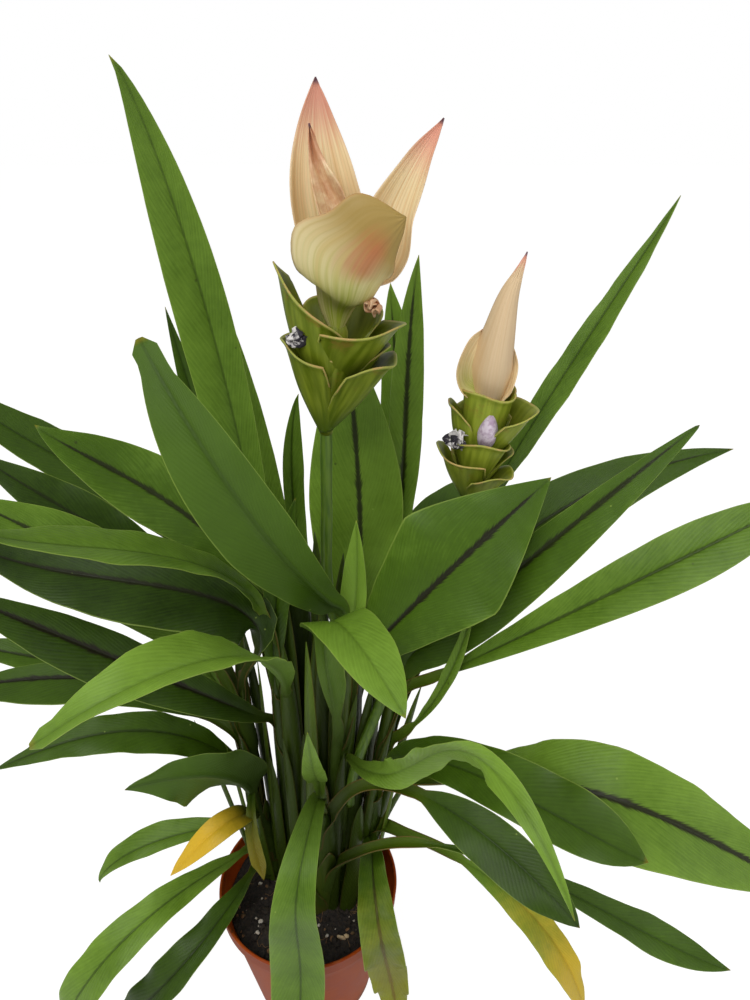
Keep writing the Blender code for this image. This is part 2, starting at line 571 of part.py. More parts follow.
def add_stalk(index, start, places, way, parts):
    """A flower stalk from its start through the places, and the foot of the head that it carries.

    Its last stretch is straight, in the head's direction.
    """
    top = np.asarray(places[-1], float)
    bend = top - way * STALK_STRAIGHT_END
    points = np.vstack([start, smooth_route([*start[-1:], *places[:-1], bend], STALK_POINTS)[1:], [top]])
    radii = np.full(len(points), STALK_RADIUS)
    tube(f"flower_stalk_{index}", points, radii, STALK_COLOUR, PLANT_ROUGHNESS, parts)
    return top + way * GAP, way


def main():
    clear_scene()
    parts = new_collection("potted_siam_tulip")
    cutters = new_collection("cutters")
    add_pot(parts, cutters)
    add_soil(parts, cutters)
    for key, name in SHOOT_NAMES.items():
        points, radii = shoot_axis(key)
        tube(name, points, radii, SHOOT_COLOUR, PLANT_ROUGHNESS, parts)
    for leaf in LEAVES:
        add_leaf(leaf, parts)

    points, radii = shoot_axis(STALKS_SHOOT)
    upwards = unit(points[-1] - points[-2])
    start_1 = np.array([points[-1] + upwards * GAP, points[-1] + upwards * STALK_1_LEAD])
    *start_2, _ = clasp(points, radii, SOIL_TOP + STALK_2_RISE, STALK_2[0], STALK_RADIUS)
    axis_1 = add_stalk(1, start_1, STALK_1, unit(HEAD_1_WAY), parts)
    axis_2 = add_stalk(2, np.array(start_2), STALK_2, unit(HEAD_2_WAY), parts)
    heads = {1: (axis_1, HEAD_1_PROFILE), 2: (axis_2, HEAD_2_PROFILE)}
    for index, ((foot, way), profile) in heads.items():
        add_head(index, profile, foot, way, parts)
    for bract in BRACTS:
        axis, profile = heads[bract.head]
        add_bract(bract, axis, profile, parts)


main()
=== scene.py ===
"""The looks of a potted siam tulip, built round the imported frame.

Every length in this file is in millimetres and turned into metres where a mesh is made, because a plant is
easier to read in millimetres. +Z is up, -Y is the front, and the origin is the centre of the pot's base.
"""

from dataclasses import dataclass
from math import cos, pi, radians, sin, tau

import bmesh
import bpy
import numpy as np
from bpy.props import FloatProperty, FloatVectorProperty, IntProperty, PointerProperty
from bpy.types import Operator, Panel, PropertyGroup
from mathutils import Euler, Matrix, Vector


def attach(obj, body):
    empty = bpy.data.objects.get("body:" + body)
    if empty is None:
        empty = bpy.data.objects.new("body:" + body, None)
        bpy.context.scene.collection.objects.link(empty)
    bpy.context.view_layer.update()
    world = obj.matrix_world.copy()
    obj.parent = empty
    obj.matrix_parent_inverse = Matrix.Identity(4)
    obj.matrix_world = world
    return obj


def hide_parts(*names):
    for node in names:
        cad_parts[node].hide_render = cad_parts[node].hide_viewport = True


bl_info = {
    "name": "Potted siam tulip",
    "version": (1, 0, 0),
    "blender": (4, 5, 0),
    "location": "View3D > Sidebar > Siam tulip",
    "description": "Leaves, flower heads, shoots, soil and pot of a siam tulip, with its stage",
    "category": "Add Mesh",
}

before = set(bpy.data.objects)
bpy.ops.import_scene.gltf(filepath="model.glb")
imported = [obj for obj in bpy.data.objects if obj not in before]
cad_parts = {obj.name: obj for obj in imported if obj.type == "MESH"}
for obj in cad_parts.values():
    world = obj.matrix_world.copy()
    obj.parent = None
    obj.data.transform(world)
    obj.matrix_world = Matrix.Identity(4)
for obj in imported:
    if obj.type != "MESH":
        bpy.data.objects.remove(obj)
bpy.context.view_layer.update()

MM = 0.001

# The axes of the shoots, from the soil up, and each one's radius at the soil and at its top.
SHOOTS = {
    "A": ([(-30, 16), (-35, 18, 180), (-37, 24, 295)], 6.0, 3.5),
    "B": ([(-4, 18), (-10, 16, 192), (-8, 14, 315)], 6.0, 3.5),
    "C": ([(8, -10), (15, -12, 176), (14, -16, 238)], 6.5, 4.5),
    "D": ([(20, 6), (24, 0, 200), (33, -2, 325)], 6.5, 3.5),
    "E": ([(36, 10), (47, 8, 190), (64, 14, 315)], 6.5, 3.5),
    "F": ([(16, 32), (19, 36, 170), (22, 44, 310)], 6.0, 3.5),
}
SHOOT_NAMES = {
    "A": "shoot_left", "B": "shoot_middle_left", "C": "shoot_front",
    "D": "shoot_centre", "E": "shoot_right", "F": "shoot_back",
}
SOIL_TOP = 98
SOIL_ROWS = 64  # rings of the soil's top
SOIL_SIDES = 240
SOIL_SEED = 11
FIBRE_STEPS = 9
FIBRE_STEP = 1.3
FIBRE_ROWS = 20
FIBRE_RADIUS = 0.22
PLANT_MIDDLE = (8, 12)
CLASP = 14  # how far up its shoot a petiole clings
PETIOLE_FOOT = 0.72  # where a petiole comes out of its sheath, as a share of the leaf's rise
SHORT_SHEATH = 6  # a leaf whose sheath would be shorter has none
ARCH_PLACES = 14
LEAF_ROWS = 72
LEAF_COLUMNS = [1, 0.985, 0.93, 0.82, 0.66, 0.48, 0.32, 0.18, 0.08, 0.03]  # shares of a half width
LEAF_THICKNESS = 0.38
BLADE_BOW = 0.12 * 2.4  # how far each half of a blade bulges, in radians from its midrib to its margin
PETIOLE_HALF = 3.8  # half a petiole's width, and how much wider it is at its foot
PETIOLE_SWELL = 2.8
SHEATH_LAYER = 0.22  # from one leaf's sheath out to the next
BRACT_ROWS = 40
BRACT_COLUMNS = 25
CHANNEL_TURN = 1.15  # how far a flat petiole's halves curl, in radians
CUP_THICKNESS = 0.8
PETAL_THICKNESS = 0.25
SHEATH_THICKNESS = 0.4
SHEATH_ROOT = 3  # how far a loose sheath goes down into the soil
MOUTH_SLANT = 0.35  # how much lower a sheath's mouth is at its edges
SOIL_GAP = 1.9  # from the pot's outside in to the soil
POT_SIDES = 160
POT_HEIGHT = 115
POT_FOOT = 45  # radii of the pot's outside
POT_MOUTH = 63
POT_WALL = 1.4
POT_RIM = [
    (62.6, 104), (62.9, 113.6), (63.1, 114.6), (63.6, 115), (64.3, 115), (64.8, 114.7), (65, 114.1),
    (64.9, 112.9), (64.5, 112.4), (64.4, 104.2), (64.1, 103.4), (63.4, 102.8), (61.6, 102.2),
]
DRAIN_HOLES = 6
DRAIN_REACH = 30  # from the pot's middle to a hole's
DRAIN_RADIUS = 4
# The stage, in metres and degrees from straight down.
CAMERA_PLACE = (0.049, -0.342, 0.632)
CAMERA_TILT = 60.25
LAMP_AIM = (0, 0, 0.3)
LAMPS = {"key_lamp": ((-0.5, -1.1, 1.9), 1.6), "fill_lamp": ((1.5, -0.6, 1.1), 1.4)}  # place and width
FLOOR_HALF = 6000  # half the floor's width, in millimetres


@dataclass
class Leaf:
    """A leaf: the shoot that it grows from, the arch of its midrib, and the outline of its blade.

    rise is the height above the soil at which it leaves its shoot, stalk how far it goes on along the
    shoot before it arches over, and tip the place of its tip. arch is how far the midrib lifts off the
    straight line to the tip, and sway how far it bows to the right of the way that it heads. Both are
    greatest at peak, and slow is how slowly they begin.

    halves are the half widths of its two sides, left and right, seen from the upper side with the tip
    up, at the share of the blade called widest. swell and taper are how full it is before and after
    that, and blunt is the half width right at its tip. petiole is the share of the length with no blade,
    faces are the directions that the upper side looks in, and fold is how far each half tilts up. tone
    runs from dark to light, stripe is how strong the dark midrib is, yellow how far it has yellowed,
    and wave how far its margins undulate.
    """

    name: str
    shoot: str
    rise: float
    tip: tuple
    halves: tuple
    widest: float
    petiole: float
    fold: float
    faces: list
    tone: float
    stripe: float
    stalk: float = 0
    arch: float = 0
    sway: float = 0
    peak: float = 0.5
    slow: float = 1
    swell: float = 1.8
    taper: float = 1.8
    blunt: float = 0
    yellow: float = 0
    wave: float = 0.5


LEAVES = [
    Leaf("tall_left", "B", rise=150, stalk=50, tip=(-63, 25, 638), arch=5, sway=21, peak=0.6,
         halves=(17, 12), widest=0.62, taper=2.2, petiole=0.2, fold=12, faces=[(0.2, -1, 0.3)],
         tone=0.64, stripe=0.15),
    Leaf("tall_left_rear", "F", rise=120, tip=(-40, 80, 530), arch=-18, sway=8, peak=0.35,
         halves=(11, 14), widest=0.45, petiole=0.3, fold=16, faces=[(0.3, -1, 0.3)],
         tone=0.68, stripe=0.2),
    Leaf("front_left_broad", "D", rise=205, stalk=50, tip=(-55, -20, 530), sway=-30, peak=0.5,
         halves=(15, 22), widest=0.5, swell=1.3, taper=2.6, petiole=0.32, fold=12, faces=[(-0.3, 1, -0.3)],
         tone=0.35, stripe=0.2, blunt=6),
    Leaf("back_broad", "F", rise=160, tip=(34, 70, 505), arch=-3, sway=9, peak=0.4,
         halves=(31, 27), widest=0.55, petiole=0.2, fold=10, faces=[(0, -1, 0.2)],
         tone=0.72, stripe=0.9),
    Leaf("back_slim_left", "F", rise=193, tip=(58, 100, 525), arch=-30, sway=5, peak=0.45,
         halves=(11, 17), taper=3.2, widest=0.4, petiole=0.3, fold=16, faces=[(0, -1, 0.2)],
         tone=0.8, stripe=0.7),
    Leaf("back_slim_right", "F", rise=130, tip=(73, 80, 545), arch=-20, sway=3, peak=0.35,
         halves=(10, 10), taper=2.2, widest=0.65, petiole=0.3, fold=16, faces=[(0.1, -1, 0.2)],
         tone=0.75, stripe=0.85),
    Leaf("back_slim_pale", "F", rise=165, tip=(2, 90, 460), arch=-16, sway=-8, peak=0.55,
         halves=(6, 8), widest=0.7, petiole=0.3, fold=16, faces=[(0.2, -1, 0.2)],
         tone=0.65, stripe=0.3),
    Leaf("young_bright", "D", rise=200, tip=(39, -2, 425), sway=-4,
         halves=(9, 7), widest=0.6, petiole=0.2, fold=20, faces=[(-0.3, -1, 0.2)],
         tone=1, stripe=0),
    Leaf("tall_right", "E", rise=190, tip=(225, 120, 570), arch=-14, sway=-22, peak=0.4,
         halves=(9, 15), widest=0.5, petiole=0.3, fold=20,
         faces=[(-0.5, -1, 0.5), (-0.8, -0.4, 0.5), (-0.8, -0.6, 0.3)],
         tone=0.6, stripe=0.3),
    Leaf("right_broad", "D", rise=215, tip=(140, 0, 450), arch=4, sway=4, peak=0.45,
         halves=(38, 34), widest=0.6, swell=1.1, taper=1.2, petiole=0.25, fold=8,
         faces=[(0, -0.8, 0.8), (-0.2, -0.9, 0.6)],
         tone=0.45, stripe=1, wave=0.6),
    Leaf("right_twisted", "E", rise=205, tip=(215, 10, 475), arch=9, sway=13, peak=0.7,
         halves=(12, 20), widest=0.38, petiole=0.12, fold=10,
         faces=[(0, -0.8, 0.8), (-0.2, -0.9, 0.5), (-0.3, -0.8, 0.6)],
         tone=0.42, stripe=0.8),
    Leaf("right_pale", "E", rise=150, tip=(270, 75, 430), arch=31, sway=-25, peak=0.5,
         halves=(22, 28), widest=0.4, petiole=0.25, fold=10, faces=[(0, -0.7, 1)],
         tone=0.3, stripe=0.6),
    Leaf("right_long", "E", rise=180, tip=(262, -20, 450), arch=12, sway=19, peak=0.55,
         halves=(15, 16), widest=0.68, swell=1.3, taper=2.5, petiole=0.28, fold=10, faces=[(0, -0.7, 1)],
         tone=0.6, stripe=0.45),
    Leaf("right_low_broad", "E", rise=110, tip=(275, -110, 268), arch=68, sway=32, peak=0.56, slow=1.9,
         halves=(26, 30), widest=0.45, swell=1.3, petiole=0.3, fold=8,
         faces=[(0, -0.3, 1), (0, -0.5, 1)],
         tone=0.7, stripe=1, wave=0.8),
    Leaf("right_low_front", "E", rise=90, tip=(172, -130, 323), arch=46, sway=10, peak=0.42,
         halves=(18, 13), widest=0.7, taper=3.5, petiole=0.3, fold=8, faces=[(0, -0.5, 1), (0, -0.7, 0.8)],
         tone=0.35, stripe=0.2, wave=1.2),
    Leaf("right_low_dark", "C", rise=95, tip=(147, -132, 276), arch=56, sway=5, peak=0.52,
         halves=(12, 14), widest=0.5, taper=3, petiole=0.6, fold=8,
         faces=[(0, -0.5, 1), (-0.2, -0.6, 0.8)],
         tone=0.2, stripe=0.2, wave=1.5),
    Leaf("front_arched", "D", rise=140, tip=(120, -185, 370), arch=50, sway=2, peak=0.8, slow=2.6,
         halves=(10, 9), widest=0.5, petiole=0.12, fold=10,
         faces=[(0, -0.5, 1), (0, -0.7, 0.9), (0.1, -1, 0.5), (0.1, -1, 0.4)],
         tone=0.8, stripe=0, wave=1),
    Leaf("right_low_olive", "C", rise=38, tip=(255, -100, 180), arch=68, sway=12, peak=0.38,
         halves=(11, 11), widest=0.75, swell=0.8, taper=2.2, petiole=0.36, fold=10, faces=[(0, -0.3, 1)],
         tone=0.4, stripe=0.1),
    Leaf("right_low_yellowing", "E", rise=60, tip=(180, -90, 115), arch=50, sway=2, peak=0.55,
         halves=(8, 14), widest=0.6, petiole=0.4, fold=14, faces=[(0.3, -0.5, 0.8)],
         tone=0.8, stripe=0.1, yellow=0.75, wave=1),
    Leaf("front_right_hanging", "E", rise=30, stalk=25, tip=(68, -75, 40), arch=47, sway=12, peak=0.25,
         halves=(13, 14), widest=0.55, taper=2.5, petiole=0.12, fold=10,
         faces=[(0, -0.6, 1), (0, -1, 0.5)],
         tone=0.5, stripe=0.6, yellow=0.2, wave=2.5),
    Leaf("front_hanging", "C", rise=95, stalk=25, tip=(-5, -100, 45), arch=42, sway=-2, peak=0.2,
         halves=(16, 19), widest=0.7, taper=3, petiole=0.12, fold=10,
         faces=[(0, -0.6, 1), (0, -1, 0.5)],
         tone=0.6, stripe=0.25),
    Leaf("front_small", "C", rise=136, tip=(14, -65, 335), arch=-6,
         halves=(7, 7), widest=0.5, swell=1.1, petiole=0.1, fold=8, faces=[(0, -1, 0.6)],
         tone=0.75, stripe=0),
    Leaf("left_low_long", "A", rise=26, tip=(-160, -85, 75), arch=50, sway=-14, peak=0.52,
         halves=(14, 14), widest=0.7, taper=2.5, petiole=0.1, fold=10, faces=[(0, -0.4, 1)],
         tone=0.7, stripe=0.3, wave=1),
    Leaf("left_low_inner", "A", rise=12, tip=(-141, -75, 44), arch=37, sway=-31, peak=0.42,
         halves=(11, 14), widest=0.6, petiole=0.1, fold=10, faces=[(0, -0.4, 1)],
         tone=0.2, stripe=0.4, wave=2),
    Leaf("left_low_pale", "A", rise=45, tip=(-149, -10, 125), arch=18, sway=1, peak=0.6,
         halves=(8, 12), widest=0.55, petiole=0.2, fold=10, faces=[(0, -0.4, 1)],
         tone=0.65, stripe=0.2, wave=1),
    Leaf("left_yellow", "A", rise=62, tip=(-84, -40, 178), arch=33, sway=-14, peak=0.5,
         halves=(9, 8), widest=0.6, petiole=0.1, fold=10, faces=[(0, -0.5, 1)],
         tone=0.5, stripe=0.2, yellow=1),
    Leaf("left_folded", "A", rise=80, tip=(-95, -50, 273), arch=22, sway=-16, peak=0.6,
         halves=(20, 36), widest=0.3, taper=1.5, petiole=0.25, fold=20, faces=[(-0.1, 0.8, -0.4)],
         tone=0.3, stripe=0.1, wave=1.5),
    Leaf("left_dark_long", "B", rise=150, tip=(-155, -55, 420), arch=4, sway=-8, peak=0.35,
         halves=(18, 13), widest=0.6, petiole=0.2, fold=10, faces=[(0, -0.6, 1)],
         tone=0.15, stripe=1),
    Leaf("left_near_curled", "B", rise=175, tip=(-70, -160, 430), arch=40, sway=-40, peak=0.75,
         halves=(9, 17), widest=0.5, taper=3, petiole=0.25, fold=16,
         faces=[(0.3, 0.2, 1), (0, -0.3, 1)],
         tone=0.75, stripe=0, blunt=4),
    Leaf("front_near_curled", "D", rise=150, tip=(62, -112, 394), arch=57, sway=10, peak=0.66, slow=1.7,
         halves=(16, 15), widest=0.6, taper=3.5, petiole=0.3, fold=8,
         faces=[(0, 0.5, 0.8), (0, 0, 1), (0.2, -0.5, 1)],
         tone=0.7, stripe=0),
    Leaf("left_upper_broad", "B", rise=190, tip=(-125, 10, 475), arch=25, sway=12, peak=0.42,
         halves=(20, 20), widest=0.62, swell=1.2, petiole=0.35, fold=14, faces=[(-0.2, -0.7, 1)],
         tone=0.5, stripe=0.8),
    Leaf("left_upper_dark", "A", rise=160, tip=(-190, 60, 436), arch=12, sway=18, peak=0.4,
         halves=(17, 17), widest=0.6, petiole=0.3, fold=14, faces=[(-0.2, -0.6, 1)],
         tone=0.15, stripe=0.5),
    Leaf("left_upper_light", "A", rise=160, tip=(-160, -12, 446), arch=22, sway=-4, peak=0.45,
         halves=(24, 18), widest=0.65, petiole=0.3, fold=12, faces=[(-0.2, -0.6, 1)],
         tone=0.6, stripe=0.8),
    Leaf("left_curved", "B", rise=205, tip=(-100, -110, 487), arch=30, sway=-5, peak=0.4,
         halves=(15, 13), widest=0.65, petiole=0.35, fold=14, faces=[(-0.2, -0.5, 1)],
         tone=0.6, stripe=0.1),
    Leaf("left_dark_broad", "A", rise=180, tip=(-155, -30, 430), arch=52, sway=-28, peak=0.32,
         halves=(26, 22), widest=0.55, petiole=0.3, fold=10, faces=[(-0.2, -0.5, 1)],
         tone=0.1, stripe=0.8),
    Leaf("left_far", "A", rise=150, tip=(-215, 95, 468), sway=60, peak=0.35,
         halves=(19, 19), widest=0.6, petiole=0.4, fold=14, faces=[(-0.2, -0.4, 1)],
         tone=0.3, stripe=0.3),
    Leaf("left_middle_far", "A", rise=143, tip=(-255, 70, 284), arch=-30, sway=40, peak=0.3,
         halves=(16, 16), widest=0.55, petiole=0.25, fold=12, faces=[(-0.1, -0.3, 1)],
         tone=0.45, stripe=0.6),
    Leaf("left_middle", "A", rise=125, tip=(-230, 10, 292), arch=15, sway=18, peak=0.45,
         halves=(23, 11), widest=0.6, petiole=0.25, fold=12, faces=[(-0.1, -0.3, 1)],
         tone=0.35, stripe=1),
    Leaf("left_lower", "A", rise=105, tip=(-185, -25, 260), arch=36, sway=-4, peak=0.48,
         halves=(15, 12), widest=0.45, petiole=0.2, fold=12, faces=[(-0.1, -0.5, 1)],
         tone=0.35, stripe=0.4, wave=1.2),
    Leaf("rear_left", "F", rise=100, tip=(-100, 230, 320), arch=76, sway=5, peak=0.55,
         halves=(21, 21), widest=0.5, petiole=0.25, fold=12, faces=[(0, -0.3, 1)],
         tone=0.35, stripe=0.5),
    Leaf("rear_right", "F", rise=75, tip=(165, 210, 320), arch=80, peak=0.6,
         halves=(21, 21), widest=0.5, petiole=0.25, fold=12, faces=[(0, -0.3, 1)],
         tone=0.35, stripe=0.5),
]


@dataclass
class Bract:
    """A coloured bract: how high on its head it starts, the route of its midrib, and its outline.

    halves are the half widths of its two sides, left and right, seen from the inner side with the tip
    up, where it is widest. swell and taper are how full it is before and after that, and notch is the
    depth of the dent in each side near the tip. cup is how far its sides turn towards the inner side.
    blush is how far down from the tip the pink reaches, lime how far up from the foot the green does,
    blotch the strength of its red patch and of the painted shade on its crest, dry how far it has withered
    and tan how beige it is.
    """

    name: str
    head: int
    rise: float
    route: list
    halves: tuple
    widest: float
    cup: float
    face: tuple
    swell: float = 1.8
    taper: float = 1.4
    notch: tuple = (0, 0)
    blush: float = 0.35
    lime: float = 0.15
    blotch: float = 0
    dry: float = 0
    tan: float = 0


BRACTS = [
    Bract("bract_1_back", 1, rise=66, route=[(28, 22, 562), (24, 24, 587), (23, 24, 610), (24, 20, 630)],
          halves=(17, 20), widest=0.45, taper=1.8, cup=42, face=(0.1, -1, 0.2), blush=0.3, lime=0.6),
    Bract("bract_1_withered", 1, rise=78, route=[(33, 11, 566), (29, 11, 580), (24, 12, 596), (21, 13, 613)],
          halves=(8, 9), widest=0.4, taper=1.6, cup=45, face=(0.2, -1, 0.2), dry=1, blush=0.3, lime=0),
    Bract("bract_1_right", 1, rise=68, route=[(53, 17, 556), (59, 17, 578), (68, 14, 598), (78, 11, 615)],
          halves=(14, 19), widest=0.42, taper=1.3, cup=45, face=(-0.4, -1, 0.3), blush=0.3, lime=0),
    Bract("bract_1_hood", 1, rise=61, route=[(36, -6, 543), (39, -12, 556), (47, -14, 568), (62, -10, 579)],
          halves=(18, 31), widest=0.58, swell=1.15, taper=2.5, notch=(0, 0.25), cup=24, face=(0, 1, 0.2),
          blush=0, lime=0.95, blotch=1),
    Bract("bract_2_pointed", 2, rise=58,
          route=[(110, 29, 497), (112, 29, 515), (116, 31, 536), (123, 34, 556)], halves=(15, 15),
          widest=0.3, swell=3.5, taper=1.05, cup=50, face=(0.1, 1, 0), blush=0.12, lime=0, tan=0.75),
    Bract("bract_2_left", 2, rise=58, route=[(98, 38, 488), (98, 38, 500), (106, 38, 517)],
          halves=(9, 8), widest=0.5, taper=3.5, cup=35, face=(0.5, -1, 0.2), blush=0.05, lime=0.9),
    Bract("bract_2_right", 2, rise=56, route=[(119, 40, 484), (121, 42, 494), (120, 42, 509)],
          halves=(5, 6), widest=0.5, taper=3, cup=35, face=(-0.5, -1, 0.2), blush=0.05, lime=0.4),
]


@dataclass
class Cup:
    """A green bract, a pouch round its head's axis.

    azimuth is the way it opens, in degrees from the right towards the back, low and high are its foot
    and the top of its rim above the head's foot, reach is how far out the rim stands, wrap the half
    angle that it goes round, and full how late it flares. Its rim drops away from the place called
    lean by the share called drop, as steeply as point says.
    """

    azimuth: float
    low: float
    high: float
    reach: float
    wrap: float
    drop: float = 0.15
    lean: float = 0
    full: float = 1.35
    point: float = 2.4


HEAD_FEET = {1: ((24, 10, 472.3), (9, 0, 72)), 2: ((104, 38, 421.3), (7, 0, 65))}
GREEN_BRACTS = {
    1: [
        Cup(192, 0, 47, 25, 82), Cup(256, 1, 45, 17, 78, drop=0.25, lean=0.2), Cup(338, 2, 45, 30, 64),
        Cup(85, 2, 45, 22, 95), Cup(140, 15, 50, 22, 75, drop=0.2), Cup(28, 15, 49, 25, 72, drop=0.2),
        Cup(226, 18, 82, 31, 84, drop=0.36, lean=-0.45, full=0.95, point=1.2),
        Cup(324, 22, 62, 31, 84), Cup(75, 28, 64, 23, 90, drop=0.2),
    ],
    2: [
        Cup(212, -5, 28, 23, 78), Cup(318, -7, 19, 21, 72), Cup(65, -2, 29, 20, 100),
        Cup(272, 2, 38, 19, 84), Cup(188, 18, 55, 20, 58, drop=0.3, full=0.9), Cup(350, 15, 57, 26, 74),
        Cup(95, 15, 50, 19, 90), Cup(262, 22, 64, 14, 96, drop=0.01, full=0.45),
        Cup(82, 22, 64, 13.5, 100, drop=0.01, full=0.45),
    ],
}
STALK_1 = [(35.5, -2.5, 326), (23, 4, 368), (23, 8, 432), (24, 10, 472)]
STALK_2 = [
    (32, -8, 208), (33, -8, 224), (38, -8, 250), (55, 3, 298), (67, 15, 337), (88, 30, 378), (104, 38, 421),
]
STALK_RADIUS = 3.2
# Each one's finish, middle, size, number of petals and seed.
SMALL_FLOWERS = {
    "withered_flower_1": ("withered_floret", (15, -5, 525), 10, 7, 3),
    "dry_flower_1": ("dry_flower", (49, -1, 538), 9, 4, 5),
    "withered_flower_2": ("withered_floret", (93, 28, 458), 10, 8, 8),
}
BUD = [(108, 30, 452), (109.5, 27, 460), (110, 25, 467), (110.5, 24, 474)]
BUD_ROWS = 26
# Each one's place, its height above the soil and its size.
PALE_CHIPS = [((25.6, -34.8), 1, 2.6), ((28.5, -34), 0.8, 1.6)]


@dataclass
class Strap:
    """A wide flat petiole whose blade is hidden: where it stands on the soil and where its top ends."""

    foot: tuple
    tip: tuple
    half: float
    tone: float
    arch: float = 0
    sway: float = 0
    peak: float = 0.5
    slow: float = 1


SPRIGS = [
    Leaf("sprig_low_left", "A", rise=92, tip=(-27, -26, 152), arch=18, sway=4, peak=0.4,
         halves=(5, 5), widest=0.75, petiole=0.3, fold=12, faces=[(0, -0.6, 1), (0, -1, 0.4)],
         tone=0.45, stripe=0, yellow=0.35),
    Leaf("sprig_back_left", "B", rise=150, tip=(-64, 60, 522), arch=-12, sway=12, peak=0.4,
         halves=(9, 9), widest=0.5, petiole=0.3, fold=14, faces=[(0.2, -1, 0.3)], tone=0.3, stripe=0.2),
    Leaf("sprig_centre", "B", rise=165, tip=(6, 10, 432), arch=6, sway=4,
         halves=(8, 8), widest=0.6, petiole=0.3, fold=16, faces=[(0.2, -1, 0.3)], tone=0.45, stripe=0.2),
    Leaf("sprig_left", "A", rise=120, tip=(-120, 40, 352), arch=14, sway=6,
         halves=(9, 8), widest=0.6, petiole=0.35, fold=12, faces=[(-0.2, -0.5, 1)], tone=0.8, stripe=0.1),
    Leaf("sprig_right", "E", rise=140, tip=(104, -6, 372), arch=-8, sway=8,
         halves=(4, 5), widest=0.6, petiole=0.4, fold=14, faces=[(-0.4, -0.6, 0.8)], tone=0.7, stripe=0.1),
]
# A strap's tone is partly the petiole's own green and partly painted shade: the straps deep in the middle of
# the plant have the lowest tones, which darken them as the leaves above would shadow them.
STRAPS = {
    "left": [
        Strap((-37, 12), (-50, 8, 246), 3, 0.7), Strap((-30, 8), (-40, 6, 250), 3.5, 0.5),
        Strap((-26, 14), (-24, 12, 318), 2.6, 0.75), Strap((-22, 10), (-14, 14, 330), 3, 0.5),
        Strap((-34, 20), (-52, 24, 300), 5, 0.1), Strap((-24, 22), (-34, 26, 330), 6, 0.1),
        Strap((-20, 4), (-20, 2, 240), 5, 0.25), Strap((-42, 18), (-70, 14, 262), 4, 0.3),
    ],
    "middle": [
        Strap((-12, 6), (-14, 8, 310), 7, 0.15), Strap((-2, 2), (-6, 4, 335), 8, 0.35),
        Strap((-8, -4), (-10, -2, 262), 6, 0.3), Strap((0, -8), (4, -6, 270), 7, 0.1),
        Strap((10, 2), (14, 8, 345), 8, 0.2), Strap((16, -12), (38, -6, 304), 6.5, 0.55, sway=-3),
        Strap((22, -6), (26, 2, 330), 7, 0.25), Strap((-14, 24), (-18, 30, 360), 9, 0.0),
        Strap((4, 26), (2, 34, 385), 11, 0.0), Strap((8, -16), (10, -18, 232), 6, 0.3),
        Strap((-4, 24), (-8, 34, 385), 11, 0.0), Strap((12, 20), (14, 26, 400), 9, 0.1),
        Strap((4, -14), (10, -14, 352), 6, 0.8), Strap((-6, 10), (-4, 12, 370), 7, 0.2),
        Strap((14, 0), (20, 4, 380), 8, 0.15), Strap((18, -16), (30, -14, 262), 6, 0.15, sway=-3),
    ],
    "right": [
        Strap((28, -4), (48, -2, 312), 7, 0.2, sway=-3), Strap((34, -8), (60, -6, 276), 6, 0.3, sway=-4),
        Strap((40, 2), (78, 2, 305), 4.5, 0.35, sway=-5), Strap((42, 10), (66, 14, 335), 6, 0.1, sway=-3),
        Strap((30, 12), (40, 16, 340), 8, 0.05), Strap((22, 26), (30, 34, 380), 10, 0.0),
        Strap((40, 26), (56, 30, 330), 8, 0.0), Strap((28, 4), (38, 8, 370), 8, 0.1),
        Strap((44, -2), (63, -10, 236), 2.8, 0.85, sway=-4),
        Strap((30, -14), (40, -16, 216), 6, 0.3, sway=-3), Strap((36, 0), (88, -4, 262), 4, 0.3, arch=6),
    ],
}


def unit(vectors):
    """The vectors, each 1 long."""
    vectors = np.asarray(vectors, float)
    return vectors / np.linalg.norm(vectors, axis=-1, keepdims=True)


def read_at(values, places, rows):
    """Rows of numbers, given at places, read at values between them."""
    return np.stack([np.interp(values, places, column) for column in np.transpose(rows)], axis=-1)


def route_through(places, count):
    """count points, evenly spaced, on a smooth curve through the places."""
    knots = np.asarray(places, float)
    knots = np.vstack([2 * knots[0] - knots[1], knots, 2 * knots[-1] - knots[-2]])
    pieces = []
    for p0, p1, p2, p3 in zip(knots, knots[1:], knots[2:], knots[3:]):
        t1 = np.linalg.norm(p1 - p0) ** 0.5
        t2 = t1 + np.linalg.norm(p2 - p1) ** 0.5
        t3 = t2 + np.linalg.norm(p3 - p2) ** 0.5
        t = np.linspace(t1, t2, 24, endpoint=False)[:, None]
        a1 = ((t1 - t) * p0 + t * p1) / t1
        a2 = ((t2 - t) * p1 + (t - t1) * p2) / (t2 - t1)
        a3 = ((t3 - t) * p2 + (t - t2) * p3) / (t3 - t2)
        b1 = ((t2 - t) * a1 + t * a2) / t2
        b2 = ((t3 - t) * a2 + (t - t1) * a3) / (t3 - t1)
        pieces.append(((t2 - t) * b1 + (t - t1) * b2) / (t2 - t1))
    dense = np.vstack(pieces + [knots[-2:-1]])
    length = np.concatenate([[0], np.cumsum(np.linalg.norm(np.diff(dense, axis=0), axis=1))])
    return read_at(np.linspace(0, length[-1], count), length, dense)


def ease(value, low, high):
    """0 at low, 1 at high, and smooth between."""
    t = np.clip((value - low) / (high - low), 0, 1)
    return t * t * (3 - 2 * t)


def mesh_object(name, places, faces, marks=None):
    """An object from places in millimetres, with a vector attribute for each entry of marks."""
    mesh = bpy.data.meshes.new(name)
    mesh.from_pydata((np.asarray(places, float) * MM).tolist(), [], faces)
    for mark, values in (marks or {}).items():
        attribute = mesh.attributes.new(mark, "FLOAT_VECTOR", "POINT")
        attribute.data.foreach_set("vector", np.asarray(values, np.float32).reshape(-1))
    mesh.shade_smooth()
    mesh.update()
    obj = bpy.data.objects.new(name, mesh)
    bpy.context.scene.collection.objects.link(obj)
    return obj


def grid_shares(rows, cols):
    """The size of a grid, each row's share of the way up and each column's, from -1 to 1, across."""
    return (rows, cols), np.linspace(0, 1, rows)[:, None], np.linspace(-1, 1, cols)[None]


